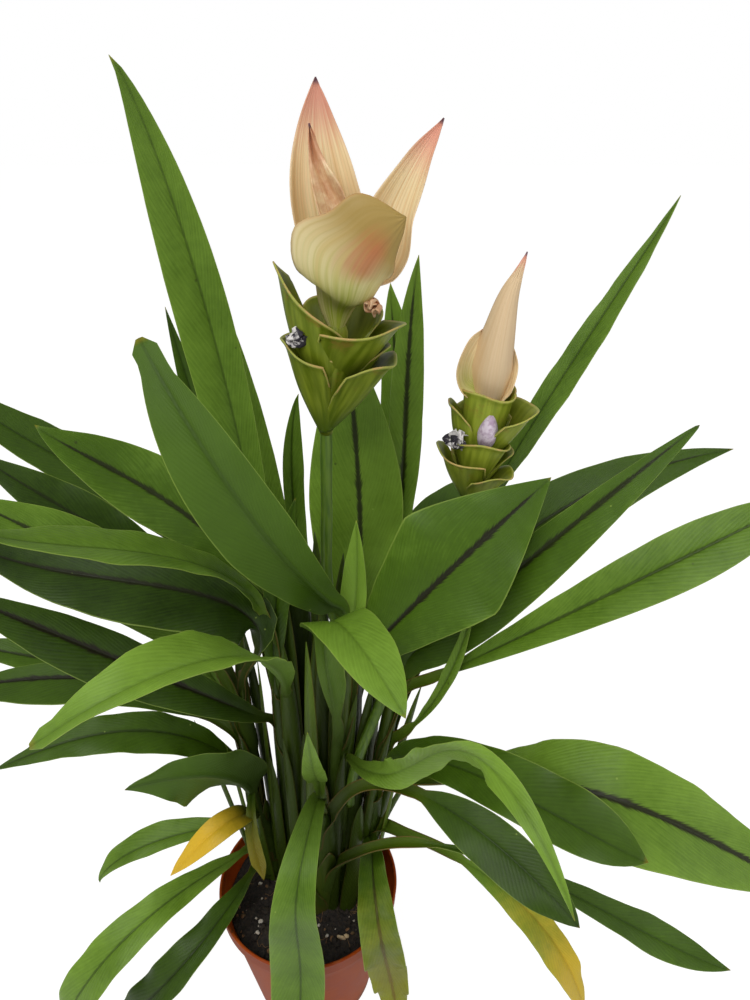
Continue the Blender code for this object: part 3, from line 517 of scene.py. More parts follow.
def filled(shape, *values):
    """Three values at every point of a grid, for a finish to read as a mark."""
    return np.stack([value * np.ones(shape) for value in values], -1)


def blade_frame(midrib, faces):
    """The way across and the way up at each place of a midrib, for an upper side that looks at faces."""
    along = unit(np.gradient(midrib, axis=0))
    upper = unit(faces - (faces * along).sum(axis=1, keepdims=True) * along)
    return np.cross(along, upper), upper


def swept(midrib, side, upper, flat, high):
    """A grid of places: a section, flat across and high up, at each place of a midrib."""
    return midrib[:, None] + side[:, None] * flat[..., None] + upper[:, None] * high[..., None]


def closed_sheet(upper, thickness, marks):
    """(places, faces, marks) of a closed sheet below a grid of upper points.

    The last number of the mark called blade is 0 on the upper side and 1 on the under side.
    """
    rows, cols = upper.shape[:2]
    normal = np.cross(np.gradient(upper, axis=1), np.gradient(upper, axis=0))
    normal /= np.maximum(np.linalg.norm(normal, axis=2, keepdims=True), 1e-9)
    lower = upper - normal * thickness[..., None]
    number = np.arange(rows * cols).reshape(rows, cols)
    under = number + rows * cols
    r, c = slice(None, -1), slice(1, None)
    faces = [
        np.stack([number[r, :-1], number[r, 1:], number[c, 1:], number[c, :-1]], -1),
        np.stack([under[r, :-1], under[c, :-1], under[c, 1:], under[r, 1:]], -1),
        np.stack([under[r, 0], number[r, 0], number[c, 0], under[c, 0]], -1),
        np.stack([under[r, -1], under[c, -1], number[c, -1], number[r, -1]], -1),
        np.stack([number[0, :-1], under[0, :-1], under[0, 1:], number[0, 1:]], -1),
        np.stack([number[-1, :-1], number[-1, 1:], under[-1, 1:], under[-1, :-1]], -1),
    ]
    faces = np.concatenate([part.reshape(-1, 4) for part in faces]).tolist()
    both = {}
    for mark, values in marks.items():
        below = values.copy()
        if mark == "blade":
            below[..., 2] = 1
        both[mark] = np.concatenate([values.reshape(-1, 3), below.reshape(-1, 3)])
    return np.concatenate([upper.reshape(-1, 3), lower.reshape(-1, 3)]), faces, both


def inward_sheet(outer, thickness, marks):
    """A closed sheet inside a grid of places whose rows go up and whose columns go round."""
    marks = {mark: values[:, ::-1] for mark, values in marks.items()}
    return closed_sheet(outer[:, ::-1], np.full(outer.shape[:2], thickness), marks)


def join_parts(parts):
    """One (places, faces, marks) from several, each with the same marks."""
    places, faces, marks, count = [], [], {}, 0
    for part_places, part_faces, part_marks in parts:
        places.append(part_places)
        faces += [[corner + count for corner in face] for face in part_faces]
        for mark, values in part_marks.items():
            marks.setdefault(mark, []).append(values)
        count += len(part_places)
    return np.concatenate(places), faces, {mark: np.concatenate(v) for mark, v in marks.items()}


def tube_part(points, radii, sides, ribs=0, rib_depth=0, marks=()):
    """(places, faces, marks) of a capped tube, with lengthwise ribs if they are asked for."""
    points = np.asarray(points, float)
    along = unit(np.gradient(points, axis=0))
    first = unit(np.cross(along, (0.3, 1, 0.1)))
    second = np.cross(along, first)
    angle = np.arange(sides) / sides * tau
    radius = np.asarray(radii, float)[:, None] * (1 + rib_depth * np.cos(angle * ribs)[None])
    places = points[:, None] + radius[..., None] * (
        first[:, None] * np.cos(angle)[None, :, None] + second[:, None] * np.sin(angle)[None, :, None]
    )
    rows = len(points)
    number = np.arange(rows * sides).reshape(rows, sides)
    after = np.roll(number, -1, axis=1)
    walls = np.stack([number[:-1], after[:-1], after[1:], number[1:]], -1).reshape(-1, 4).tolist()
    caps = [number[0][::-1].tolist(), number[-1].tolist()]
    share = np.linspace(0, 1, rows)[:, None] * np.ones(sides)
    turn = np.cos(angle)[None] * np.ones((rows, 1))
    values = {mark: np.stack([turn, share, np.zeros_like(turn)], -1).reshape(-1, 3) for mark in marks}
    return places.reshape(-1, 3), walls + caps, values


def shoot_axis(key):
    """Points along a shoot's axis from the soil up, and the radius at each."""
    places, foot, top = SHOOTS[key]
    points = route_through([(*places[0], SOIL_TOP - 6)] + places[1:], 40)
    return points, np.interp(points[:, 2], [SOIL_TOP, points[-1, 2]], [foot, top])


def clasp(key, height, toward):
    """Where a leaf leaves its shoot, a way up it, the way in to its axis and the shoot's radius there."""
    points, radii = shoot_axis(key)
    below, here, above = read_at((height - CLASP, height, height + CLASP), points[:, 2], points)
    along = unit(above - below)
    out = np.asarray(toward, float) - here
    out = unit(out - (out @ along) * along)
    return here, along, -out, float(np.interp(height, points[:, 2], radii))


def arch_places(leaf, foot):
    """Places along a leaf's arch, from its foot to the leaf's tip."""
    chord = np.asarray(leaf.tip, float) - foot
    level = unit(np.cross(chord, (0, 0, 1)))
    lift = unit(np.cross(level, chord))
    share = np.sin(pi / 2 * np.linspace(0, 1, ARCH_PLACES + 1)[1:])
    fall = leaf.slow * (1 - leaf.peak) / leaf.peak
    hump = share ** leaf.slow * (1 - share) ** fall
    hump /= leaf.peak ** leaf.slow * (1 - leaf.peak) ** fall
    return foot + share[:, None] * chord + hump[:, None] * (leaf.arch * lift + leaf.sway * level)


def blade_outline(leaf, blade):
    """The share of its greatest width that a blade has at places along it."""
    before = np.clip(blade / leaf.widest, 0, 1)
    after = np.clip((blade - leaf.widest) / (1 - leaf.widest), 0, 1)
    return np.where(blade < leaf.widest, 1 - (1 - before) ** leaf.swell, 1 - after ** leaf.taper)


def leaf_route(leaf, rank, rng):
    """A leaf's midrib, its sheath's length, how far that stands off the shoot's axis, and the way in."""
    here = clasp(leaf.shoot, SOIL_TOP + leaf.rise, leaf.tip)[0]
    toward = arch_places(leaf, here)[2]
    here, up, inward, radius = clasp(leaf.shoot, SOIL_TOP + leaf.rise, toward)
    stand = radius + 0.5 + SHEATH_LAYER * rank
    foot = here - inward * (stand + 1.5) + up * (CLASP + leaf.stalk)
    low = leaf.rise * PETIOLE_FOOT
    height = SOIL_TOP + low
    start = clasp(leaf.shoot, height, toward)[0] - inward * stand
    sheath = min(low - 4, 45 + 8 * rng.random())
    axis, _ = shoot_axis(leaf.shoot)
    feet = []
    for drop in (1, 0.66, 0.33):
        middle = read_at(height - sheath * drop, axis[:, 2], axis)
        feet.append(middle - inward * (stand - 0.25 * drop))
    if sheath < SHORT_SHEATH:
        feet, sheath = [], 0
    return route_through([*feet, start, foot, *arch_places(leaf, foot)], LEAF_ROWS), sheath, stand, inward


def laid_out(lean, across, widths):
    """A section's places across and up, step by step outwards from the midrib, each step at its lean."""
    steps = np.abs(np.diff(across))
    middle = len(across) // 2
    section = np.zeros((2,) + widths.shape)
    for way in (-1, 1):
        for step in range(1, middle + 1):
            now, last = middle + way * step, middle + way * (step - 1)
            angle = (lean[:, now] + lean[:, last]) / 2
            gap = steps[min(now, last)] * widths[:, now]
            section[0, :, now] = section[0, :, last] + way * gap * np.cos(angle)
            section[1, :, now] = section[1, :, last] + gap * np.sin(angle)
    return section


def ripples(across, share, blade, length, rng):
    """How high the undulating margins of a blade stand."""
    phase = rng.uniform(0, tau, 4)
    count = length / rng.uniform(38, 55)
    high = np.zeros((len(share), len(across)))
    for way, first, other in ((-1, phase[0], phase[1]), (1, phase[2], phase[3])):
        ripple = np.sin(tau * count * share + first) + 0.5 * np.sin(tau * count * 1.9 * share + other)
        chosen = across * way > 0
        high[:, chosen] = ripple * np.abs(across[chosen]) ** 2.5
    return high * ease(blade, 0.05, 0.3) * ease(1 - blade, 0, 0.15)


def leaf_part(leaf, rank):
    """(places, faces, marks) of a leaf with its petiole and the sheath that wraps its shoot.

    share is 0 where the petiole begins and 1 at the tip, and blade is 0 where the blade begins.
    """
    rng = np.random.default_rng(sum(ord(letter) * (place + 7) for place, letter in enumerate(leaf.name)))
    midrib, sheath, stand, inward = leaf_route(leaf, rank, rng)
    length = np.linalg.norm(np.diff(midrib, axis=0), axis=1).sum()
    hidden = sheath / length
    share = (np.linspace(0, 1, LEAF_ROWS)[:, None] - hidden) / (1 - hidden)
    blade = (share - leaf.petiole) / (1 - leaf.petiole)
    knots = [0, *np.linspace(0.2, 1, len(leaf.faces) + 1)[:-1], 1]
    ways = unit([inward] + leaf.faces + leaf.faces[-1:])
    side, upper = blade_frame(midrib, read_at(share[:, 0], knots, ways))

    across = np.concatenate([np.negative(LEAF_COLUMNS), [0], LEAF_COLUMNS[::-1]])
    reach = np.abs(across)
    stem = 1 - ease(blade, 0, 0.16)
    wrap = 1 - ease(share, -0.01, 0.05)
    low = ease(-share, -leaf.petiole * 0.8, 0)
    stem_half = PETIOLE_HALF + PETIOLE_SWELL * low
    stem_half = stem_half + wrap * (stand * 2.1 - stem_half)
    outline = blade_outline(leaf, blade)
    halves = [np.maximum(half * outline, leaf.blunt * (blade > leaf.widest)) for half in leaf.halves]
    widths = np.maximum(np.where(across < 0, *halves), stem_half * stem)
    widths = widths * ease(1.004 - blade, 0, 0.012) + 0.12
    distance = widths * across

    # The stem's section is a channel, and the blade's is two gently bulging halves.
    radius = (4.2 + 2.6 * low) * (1 - wrap) + stand * wrap
    turn = np.clip(distance / radius, -2.6, 2.6)
    channel = np.stack([radius * np.sin(turn), radius * (1 - np.cos(turn))])
    drift = np.interp(share, np.linspace(0, 1, 6), rng.uniform(-3.5, 3.5, 6))
    tilt = np.radians(leaf.fold * np.interp(blade, [0, 0.3, 1], [1.5, 1, 0.7]) + drift)
    flat = laid_out(tilt + BLADE_BOW * (0.5 - reach), across, widths)
    flat[1] += ripples(across, share, blade, length, rng) * leaf.wave
    groove = 0.45 * np.exp(-(distance / 1.1) ** 2) * ease(blade, 0, 0.2)
    flat[1] -= groove * ease(1 - blade, 0, 0.25)
    places = swept(midrib, side, upper, *(channel * stem + flat * (1 - stem)))

    keel = 1.3 * np.exp(-(distance / 1.5) ** 2) * (1 - 0.75 * ease(blade, 0.1, 1))
    body = stem * 1.5 * (1 - reach ** 2) * (1 - 0.75 * wrap)
    thickness = LEAF_THICKNESS + keel * (1 - stem) * ease(1 - blade, 0, 0.1) + body
    thickness = np.minimum(thickness, 0.35 + 0.8 * widths)
    grid = widths.shape
    marks = {
        "blade": filled(grid, across, share, 0),
        "size": filled(grid, distance, blade * length, across * max(leaf.halves)),
        "habit": filled(grid, leaf.tone, leaf.stripe, leaf.yellow),
        "stem": filled(grid, stem, blade, wrap),
    }
    return closed_sheet(places, thickness, marks)


def bract_part(bract):
    """(places, faces, marks) of a coloured bract."""
    foot, way = HEAD_FEET[bract.head]
    way = unit(way)
    base = np.asarray(foot, float) + way * bract.rise
    out = np.asarray(bract.route[0], float) - base
    out = unit(out - (out @ way) * way)
    start = base + out * 6
    midrib = route_through([start - way * 12 - out * 2.5, start + way * 3] + bract.route, BRACT_ROWS)
    grid, share, across = grid_shares(BRACT_ROWS, BRACT_COLUMNS)
    reach = np.abs(across)
    ways = unit([-out, bract.face, bract.face])
    side, upper = blade_frame(midrib, read_at(share[:, 0], [0, 0.3, 1], ways))
    outline = blade_outline(bract, share)
    dent = np.exp(-((share - 0.74) / 0.1) ** 2)
    halves = [half * outline * (1 - notch * dent) for half, notch in zip(bract.halves, bract.notch)]
    widths = np.where(across < 0, *halves)
    widths = np.maximum(widths, np.interp(share, [0, 0.3, 1], [3, 0.2, 0.2]))
    cup = radians(bract.cup) * np.interp(share, [0, 0.15, 0.6, 1], [1.6, 1.3, 1, 0.5])
    turn = reach * cup * 1.6
    clear = ease(share, 0.1, 0.4)
    crimp = 0.14 * np.sin(across * 21 + share * 3)
    crimp = crimp + bract.dry * 1.3 * np.sin(across * 5 + share * 14)
    margin = 0.9 * np.sin(share * 17 + bract.rise) * reach ** 3
    flat = widths * across * np.sinc(turn / pi / 1.3)
    high = widths * reach * np.sin(turn * 0.62) + crimp * clear + margin * clear * ease(1 - share, 0, 0.2)
    marks = {
        "blade": filled(grid, across, share, 0),
        "size": filled(grid, widths * across, share, bract.dry),
        "habit": filled(grid, bract.blush, bract.lime, bract.blotch),
        "stem": filled(grid, bract.tan, 0, 0),
    }
    return closed_sheet(swept(midrib, side, upper, flat, high), np.minimum(0.45, 0.1 + 0.3 * widths), marks)


def cup_part(foot, way, cup, seed, young):
    """(places, faces, marks) of one green bract, a cup that opens away from its head's axis."""
    rng = np.random.default_rng(seed)
    grid, share, across = grid_shares(30, 31)
    way = unit(way)
    right = unit(np.cross((0, 1, 0), way))
    back = np.cross(way, right)
    away = np.abs(across - cup.lean)
    lip = 1 - cup.drop * away ** cup.point - 0.22 * ease(np.abs(across), 0.86, 1)
    height = cup.low + (cup.high - cup.low) * share * lip
    belly = 0.16 * cup.reach * np.sin(pi * share ** 0.85) * (1 - across ** 2) * min(cup.full, 1)
    flare = STALK_RADIUS + (cup.reach - STALK_RADIUS) * share ** cup.full * lip + belly
    flare = flare * (1 - 0.12 * np.abs(across) ** 3) + 1.3 * ease(share, 0.88, 1)
    flare += 0.9 * np.sin(across * rng.uniform(4, 7) + rng.uniform(0, tau)) * ease(share, 0.45, 1)
    half = radians(cup.wrap) * (1.15 - 0.2 * share)
    angle = radians(cup.azimuth) + across * half
    height = height + 1.1 * np.sin(across * rng.uniform(4, 7) + rng.uniform(0, tau)) * ease(share, 0.6, 1)
    height = height - 0.7 * ease(share, 0.93, 1)
    places = (
        np.asarray(foot, float)[None, None] + way * height[..., None]
        + (right * np.cos(angle)[..., None] + back * np.sin(angle)[..., None]) * flare[..., None]
    )
    marks = {
        "blade": filled(grid, across, share, 0),
        "size": filled(grid, across * 20, share * (cup.high - cup.low), rng.random()),
        "habit": filled(grid, rng.random(), young, 0),
    }
    return inward_sheet(places, CUP_THICKNESS, marks)


def head_part(index):
    """(places, faces, marks) of a head's green bracts and the core that carries them."""
    foot, way = HEAD_FEET[index]
    top = max(cup.low for cup in GREEN_BRACTS[index]) + 30
    parts = []
    for place, cup in enumerate(GREEN_BRACTS[index]):
        parts.append(cup_part(foot, way, cup, 40 * index + place, index - 1))
    line = np.asarray(foot, float)[None] + unit(way)[None] * np.linspace(-2, top, 24)[:, None]
    radii = np.interp(np.linspace(0, 1, 24), [0, 0.15, 0.9, 1], [STALK_RADIUS, 4.5, 6, 3])
    core = tube_part(line, radii, 20, marks=("blade", "size", "habit"))
    return join_parts(parts + [core])


def strap_part(strap, seed):
    """(places, faces, marks) of a wide flat petiole, a shallow channel that opens away from the plant."""
    rng = np.random.default_rng(seed)
    foot = np.array([*strap.foot, SOIL_TOP - 3], float)
    grid, share, across = grid_shares(40, 15)
    midrib = route_through([foot, *arch_places(strap, foot)], len(share))
    look = np.array([(foot[0] - PLANT_MIDDLE[0]) / 40 + rng.uniform(-0.5, 0.5), -1, 0])
    side, upper = blade_frame(midrib, look)
    wide = strap.half * (1.3 - 0.5 * share) * (1 + 0.05 * np.sin(share * rng.uniform(7, 12)))
    wide = wide * (1 - share ** 8) + 0.3
    flat = wide / CHANNEL_TURN * np.sin(across * CHANNEL_TURN)
    deep = wide / CHANNEL_TURN * (1 - np.cos(across * CHANNEL_TURN))
    # Painted shade: a low tone, given to the straps deep in the middle, darkens the strap and keeps the
    # yellowish petiole colour off it.
    marks = {
        "blade": filled(grid, across, share, 0),
        "size": filled(grid, flat, share * 200, flat),
        "habit": filled(grid, strap.tone, 0, 0),
        "stem": filled(grid, 0.3 + 0.6 * strap.tone, share * 0.9, 0.6),
    }
    thickness = np.minimum(0.5 + 1.2 * (1 - across ** 2), 0.1 + 0.4 * wide)
    return closed_sheet(swept(midrib, side, upper, flat, -deep), thickness, marks)


def crumpled_part(centre, size, count, seed):
    """(places, faces, marks) of a small withered flower: a bunch of crumpled petals."""
    rng = np.random.default_rng(seed)
    grid, share, across = grid_shares(14, 9)
    parts = []
    for _ in range(count):
        axis = unit(rng.normal(size=3) + (0, -0.4, 1.2))
        side = unit(np.cross(axis, rng.normal(size=3)))
        up = np.cross(side, axis)
        wide = size * 0.35 * np.sin(pi * np.clip(share * 0.9 + 0.08, 0, 1))
        bend = share * rng.uniform(3, 6) + across * rng.uniform(2, 5) + rng.uniform(0, 6)
        curl = size * 0.22 * np.sin(bend) + 0.3 * np.abs(across) * size * 0.4
        places = (
            np.asarray(centre, float) + axis * (share * size - size * 0.3)[..., None] * np.ones((*grid, 1))
            + side * (wide * across)[..., None] + up * curl[..., None]
        )
        marks = {"blade": filled(grid, across, share, 0), "habit": filled(grid, rng.random(), 0, 0)}
        parts.append(closed_sheet(places, np.full(grid, PETAL_THICKNESS), marks))
    return join_parts(parts)


class Wire:
    """An output of a shader node. Arithmetic on it adds the Math node that works it out."""

    def __init__(self, maker, socket):
        self.maker = maker
        self.socket = socket

    def __add__(self, other):
        return self.maker.math("ADD", self, other)

    def __sub__(self, other):
        return self.maker.math("SUBTRACT", self, other)

    def __rsub__(self, other):
        return self.maker.math("SUBTRACT", other, self)

    def __mul__(self, other):
        return self.maker.math("MULTIPLY", self, other)

    def __truediv__(self, other):
        return self.maker.math("DIVIDE", self, other)

    def __pow__(self, other):
        return self.maker.math("POWER", self, other)

    def __abs__(self):
        return self.maker.math("ABSOLUTE", self)


class Maker:
    """Adds shader nodes to a tree, with short calls for the common ones."""

    def __init__(self, tree):
        self.tree = tree

    def node(self, kind, inputs=None, **settings):
        made = self.tree.nodes.new("ShaderNode" + kind)
        for setting, value in settings.items():
            setattr(made, setting, value)
        for socket, value in (inputs or {}).items():
            self.put(made.inputs[socket], value)
        return made

    def put(self, socket, value):
        if isinstance(value, Wire):
            value = value.socket
        if isinstance(value, bpy.types.NodeSocket):
            self.tree.links.new(value, socket)
        else:
            socket.default_value = value

    def wire(self, kind, inputs, output=0, **settings):
        return Wire(self, self.node(kind, inputs, **settings).outputs[output])

    def math(self, operation, *values, clamp=False):
        return self.wire("Math", dict(enumerate(values)), operation=operation, use_clamp=clamp)

    def ease(self, value, low, high):
        """0 at low, 1 at high, smooth between; low may be the greater."""
        inputs = {"Value": value, "From Min": low, "From Max": high}
        return self.wire("MapRange", inputs, interpolation_type="SMOOTHSTEP")

    def mix(self, share, first, second):
        return self.wire("Mix", {0: share, 6: first, 7: second}, 2, data_type="RGBA")

    def coats(self, base, *coats):
        """A colour under coats of others, each given with the mask that it shows through."""
        for mask, coat in coats:
            base = self.mix(mask, base, coat)
        return base

    def noise(self, vector, scale, detail=2.0, roughness=0.5):
        inputs = {"Vector": vector, "Scale": scale, "Detail": detail, "Roughness": roughness}
        return self.wire("TexNoise", inputs, "Fac")

    def parts(self, vector):
        return [Wire(self, socket) for socket in self.node("SeparateXYZ", {0: vector}).outputs]

    def vector(self, x, y, z):
        return self.wire("CombineXYZ", {0: x, 1: y, 2: z})

    def mark(self, name):
        return self.parts(self.wire("Attribute", {}, "Vector", attribute_name=name))

    def place(self):
        return self.wire("TexCoord", {}, "Object")

    def group(self, name, **inputs):
        """The outputs of a node group, by name."""
        made = self.node("Group", inputs, node_tree=bpy.data.node_groups[name])
        return {socket.name: Wire(self, socket) for socket in made.outputs}


def colour(hexed):
    """A linear colour from its six-figure code."""
    parts = [int(hexed[k:k + 2], 16) / 255 for k in (0, 2, 4)]
    return (*[p / 12.92 if p <= 0.04045 else ((p + 0.055) / 1.055) ** 2.4 for p in parts], 1)


def new_group(name, inputs, outputs):
    """A shader node group: its Maker, its inputs by name, and the sockets that it gives out.

    inputs has each number's default, or None for a vector. Every output is a number.
    """
    tree = bpy.data.node_groups.new(name, "ShaderNodeTree")
    for socket, default in inputs.items():
        kind = "NodeSocketVector" if default is None else "NodeSocketFloat"
        made = tree.interface.new_socket(socket, in_out="INPUT", socket_type=kind)
        if default is not None:
            made.default_value = default
    for socket in outputs:
        tree.interface.new_socket(socket, in_out="OUTPUT", socket_type="NodeSocketFloat")
    maker = Maker(tree)
    given = {socket.name: Wire(maker, socket) for socket in tree.nodes.new("NodeGroupInput").outputs}
    return maker, given, tree.nodes.new("NodeGroupOutput").inputs


def new_material(name, specular=0.5):
    """The Maker and the Principled shader of a new material."""
    if name in bpy.data.materials:
        raise RuntimeError(f"a finish named {name} is there already")
    made = bpy.data.materials.new(name)
    made.use_nodes = True
    shader = made.node_tree.nodes["Principled BSDF"]
    shader.inputs["Specular IOR Level"].default_value = specular
    return Maker(made.node_tree), shader


def dress(maker, shader, base, rough, height, strength, depth):
    """Gives a shader its colour, its roughness and its fine relief, depth metres deep."""
    relief = maker.wire("Bump", {"Height": height, "Strength": strength, "Distance": depth})
    for socket, value in (("Base Color", base), ("Roughness", rough), ("Normal", relief)):
        maker.put(shader.inputs[socket], value)


def veins_group():
    """Fine veins that leave the midrib at a small angle and follow the margin."""
    inputs = {"Across": 0.0, "Along": 0.0, "Spacing": 2.0, "Slant": 16.0}
    maker, given, out = new_group("Veins", inputs, ["Shade", "Height"])
    slant = maker.math("RADIANS", given["Slant"])
    outward = abs(given["Across"])
    line = outward * maker.math("COSINE", slant) - given["Along"] * maker.math("SINE", slant)
    run = outward * maker.math("SINE", slant) + given["Along"] * maker.math("COSINE", slant)
    sway = maker.noise(maker.vector(line * 0.12, run * 0.03, 0), 1.0)
    line = line + sway * 1.2
    turns = line * tau / given["Spacing"]
    main = maker.math("SINE", turns)
    fine = maker.math("SINE", turns * 4.3)
    streak = maker.noise(maker.vector(line * 1.1, run * 0.05, 3), 1.0, 4.0)
    maker.put(out["Shade"], main * 0.22 + fine * 0.1 + (streak * 2.4 - 1.2))
    maker.put(out["Height"], main * 0.6 + fine * 0.3)


def stripe_group():
    """The dark band along a midrib: sharp at the middle, feathered out along the veins."""
    inputs = {"Distance": 0.0, "Run": 0.0, "Share": 0.5, "Strength": 0.5}
    maker, given, out = new_group("Midrib stripe", inputs, ["Mask"])
    away = abs(given["Distance"])
    swell = maker.ease(given["Share"], 0.06, 0.5) * maker.ease(given["Share"], 1.0, 0.72)
    width = (given["Strength"] * 1.9 + 0.25) * swell
    slanted = away * 0.96 - given["Run"] * 0.28
    barbs = maker.noise(maker.vector(slanted * 1.6, given["Run"] * 0.03, 5), 1.0, 3.0)
    patch = maker.noise(maker.vector(0, given["Run"] * 0.045, 8), 1.0, 1.0)
    width = width * (patch * 1.6 + 0.25)
    reach = width * (barbs * 2.4 - 0.1) + 0.25
    mask = maker.ease(away, reach, reach * 0.35)
    strong = given["Strength"] ** 0.6
    maker.put(out["Mask"], mask * (strong * maker.ease(swell, 0.02, 0.3)))


def specks_group():
    """Scattered small specks, as a mask."""
    inputs = {"Vector": None, "Scale": 300.0, "Amount": 0.1, "Size": 0.2}
    maker, given, out = new_group("Specks", inputs, ["Mask"])
    cells = maker.node("TexVoronoi", {"Vector": given["Vector"], "Scale": given["Scale"]}).outputs
    chosen = maker.math("LESS_THAN", maker.parts(cells["Color"])[0], given["Amount"])
    spots = maker.ease(cells["Distance"], given["Size"], given["Size"] * 0.5)
    maker.put(out["Mask"], spots * chosen)


def mottle_group():
    """Soft uneven tone at two scales, from 0 to 1 about a half."""
    maker, given, out = new_group("Mottle", {"Vector": None, "Scale": 40.0}, ["Value"])
    wide = maker.noise(given["Vector"], given["Scale"], 2.0)
    fine = maker.noise(given["Vector"], given["Scale"] * 9.0, 3.0)
    maker.put(out["Value"], wide * 0.7 + fine * 0.3)


def painted_shade_group():
    """Painted shade: where a piece is low down in the middle of the plant, as a mask that darkens it there in
    place of the shadow that the leaves above cast.
    """
    maker, given, out = new_group("Inner shade", {"Vector": None}, ["Mask"])
    x, y, z = maker.parts(given["Vector"])
    x, y = x - PLANT_MIDDLE[0] * MM, y - PLANT_MIDDLE[1] * MM
    away = maker.math("SQRT", x * x + y * y)
    maker.put(out["Mask"], maker.ease(away, 0.085, 0.03) * maker.ease(z, 0.37, 0.26))


def leaf_material(colours):
    maker, shader = new_material("leaf_green", specular=0.25)
    across, _, under = maker.mark("blade")
    distance, run, drawn = maker.mark("size")
    tone, strength, yellow = maker.mark("habit")
    stem, blade, wrap = maker.mark("stem")
    place = maker.place()
    veins = maker.group("Veins", Across=drawn, Along=run, Spacing=2.2, Slant=15.0)
    mottle = maker.group("Mottle", Vector=place, Scale=28.0)["Value"]
    edge = abs(across)
    value = tone + (mottle * 0.5 - 0.25) + veins["Shade"] * 0.09 + edge ** 3.0 * 0.08
    ramp = maker.node("ValToRGB", {"Fac": value})
    stops = ramp.color_ramp.elements
    stops[0].color, stops[1].color = colours.leaf_dark, colours.leaf_bright
    stops.new(0.5).color = colours.leaf_mid
    mask = maker.group("Midrib stripe", Distance=distance, Run=run, Share=blade, Strength=strength)["Mask"]
    band = maker.mix(maker.ease(strength, 0.25, 0.6), colours.stripe_faint, colours.stripe)
    ridge = maker.ease(abs(distance), 1.0, 0.25) * maker.ease(blade, 0.02, 0.2) * (under * 0.1 + 0.22)
    aged = yellow * maker.ease(mottle * 0.7 - 0.35 + blade, 0.15, 0.8)
    aged = maker.math("MAXIMUM", aged, maker.ease(blade, 0.985, 1.0) * 0.2)
    rim = maker.ease(edge, 0.965, 0.995) * (1.0 - stem)
    dry = maker.ease(edge, 0.8, 0.98) * (stem * 0.75)
    dark = maker.group("Specks", Vector=place, Scale=120.0, Amount=0.05, Size=0.13)["Mask"]
    light = maker.group("Specks", Vector=place, Scale=210.0, Amount=0.02, Size=0.16)["Mask"]
    # Painted shade: leaves and petioles low in the middle of the plant are darkened towards the shade green,
    # as the leaves above would shadow them.
    inner = maker.group("Inner shade", Vector=place)["Mask"]
    final = maker.coats(
        ramp.outputs["Color"], (stem * (wrap * 0.3 + 0.45), colours.stem), (under * 0.5, colours.underside),
        (mask * (0.93 - under * 0.75), band), (ridge, colours.leaf_dark), (aged, colours.leaf_yellow),
        (rim * 0.5, colours.margin), (dry, colours.sheath_edge), (dark * 0.55, colours.speck),
        (light * 0.5, colours.margin), (inner * 0.62, colours.shade),
    )
    height = veins["Height"] + maker.noise(place, 900.0, 2.0) * 0.8
    dress(maker, shader, final, mottle * 0.22 + 0.28 + under * 0.12, height, 0.35, 0.0002)


def bract_material(colours):
    maker, shader = new_material("petal_cream")
    across, share, _ = maker.mark("blade")
    dry = maker.mark("size")[2]
    blush, lime, blotch = maker.mark("habit")
    tan = maker.mark("stem")[0]
    mottle = maker.group("Mottle", Vector=maker.place(), Scale=55.0)["Value"]
    sway = maker.noise(maker.vector(across * 3.0, share * 2.0, 1), 1.0)
    lines = maker.math("SINE", across * 62.0 + sway * 7.0)
    streak = maker.noise(maker.vector(across * 9.0, share * 1.2, 2), 1.0, 4.0)
    reach = share + (streak * 0.3 - 0.15)
    pink = maker.ease(reach, 1.0 - blush, 1.0 - blush * 0.2)
    green = maker.ease(reach, lime, lime * 0.2 - 0.08) * (maker.ease(streak, 0.4, 0.6) * 0.4 + 0.85)
    green = maker.math("MULTIPLY", green, 1.1 - abs(across) * 0.7, clamp=True)
    spot = maker.ease(share, 0.46, 0.62) * maker.ease(share, 0.92, 0.74)
    spot = spot * maker.ease(across + streak, 0.95, 0.35)
    spot = spot * maker.ease(across, -0.75, -0.2) * blotch
    tip = maker.ease(share, 0.965, 0.99) * maker.ease(blush, 0.07, 0.11)
    final = maker.coats(
        colours.cream, (maker.ease(streak, 0.35, 0.7), colours.cream_deep), (tan, colours.tan),
        (maker.ease(lines, 0.5, 1.0) * (0.2 - tan * 0.15), colours.bract_vein),
        (pink * 0.8, colours.bract_pink), (green, colours.lime),
        # Painted shade: the upper part of the hooded bract, where it bends away from the light, is darkened
        # to olive tan.
        (maker.ease(share, 0.5, 0.8) * (blotch * 0.95), colours.painted_crest_shade),
        (spot * 0.75, colours.blotch), (dry * maker.ease(mottle, 0.3, 0.65), colours.withered),
        (tip, colours.bract_tip), (maker.ease(abs(across), 0.93, 1.0) * 0.35, colours.bract_edge),
    )
    height = (lines * 0.4 + streak * 1.5) * maker.ease(share, 0.95, 0.7)
    dress(maker, shader, final, mottle * 0.2 + 0.4, height, 0.25, 0.0002)


def green_bract_material(colours):
    maker, shader = new_material("cup_green", specular=0.25)
    across, share, under = maker.mark("blade")
    chance, young, _ = maker.mark("habit")
    mottle = maker.group("Mottle", Vector=maker.place(), Scale=90.0)["Value"]
    streak = maker.noise(maker.vector(across * 8.0, share * 1.5, chance), 1.0, 4.0)
    fresh = maker.ease(streak, 0.3, 0.7) * 0.5 + young * 0.3
    stain = maker.ease(mottle, 0.56, 0.68) * maker.ease(share, 0.55, 0.9)
    rim = maker.math("MAXIMUM", maker.ease(share, 0.955, 0.99), maker.ease(abs(across), 0.95, 1.0))
    brown = maker.ease(share, 0.975, 1.0) * maker.ease(mottle, 0.48, 0.58)
    final = maker.coats(
        colours.olive_bract, (fresh, colours.lime), (maker.ease(share, 0.55, 0.0), colours.bract_foot),
        ((1.0 - under) * 0.35, colours.bract_inner), (stain * 0.6, colours.bract_stain),
        (rim * 0.6, colours.bract_rim), (brown * 0.5, colours.withered),
    )
    dress(maker, shader, final, mottle * 0.25 + 0.28, streak + mottle * 0.5, 0.35, 0.0004)


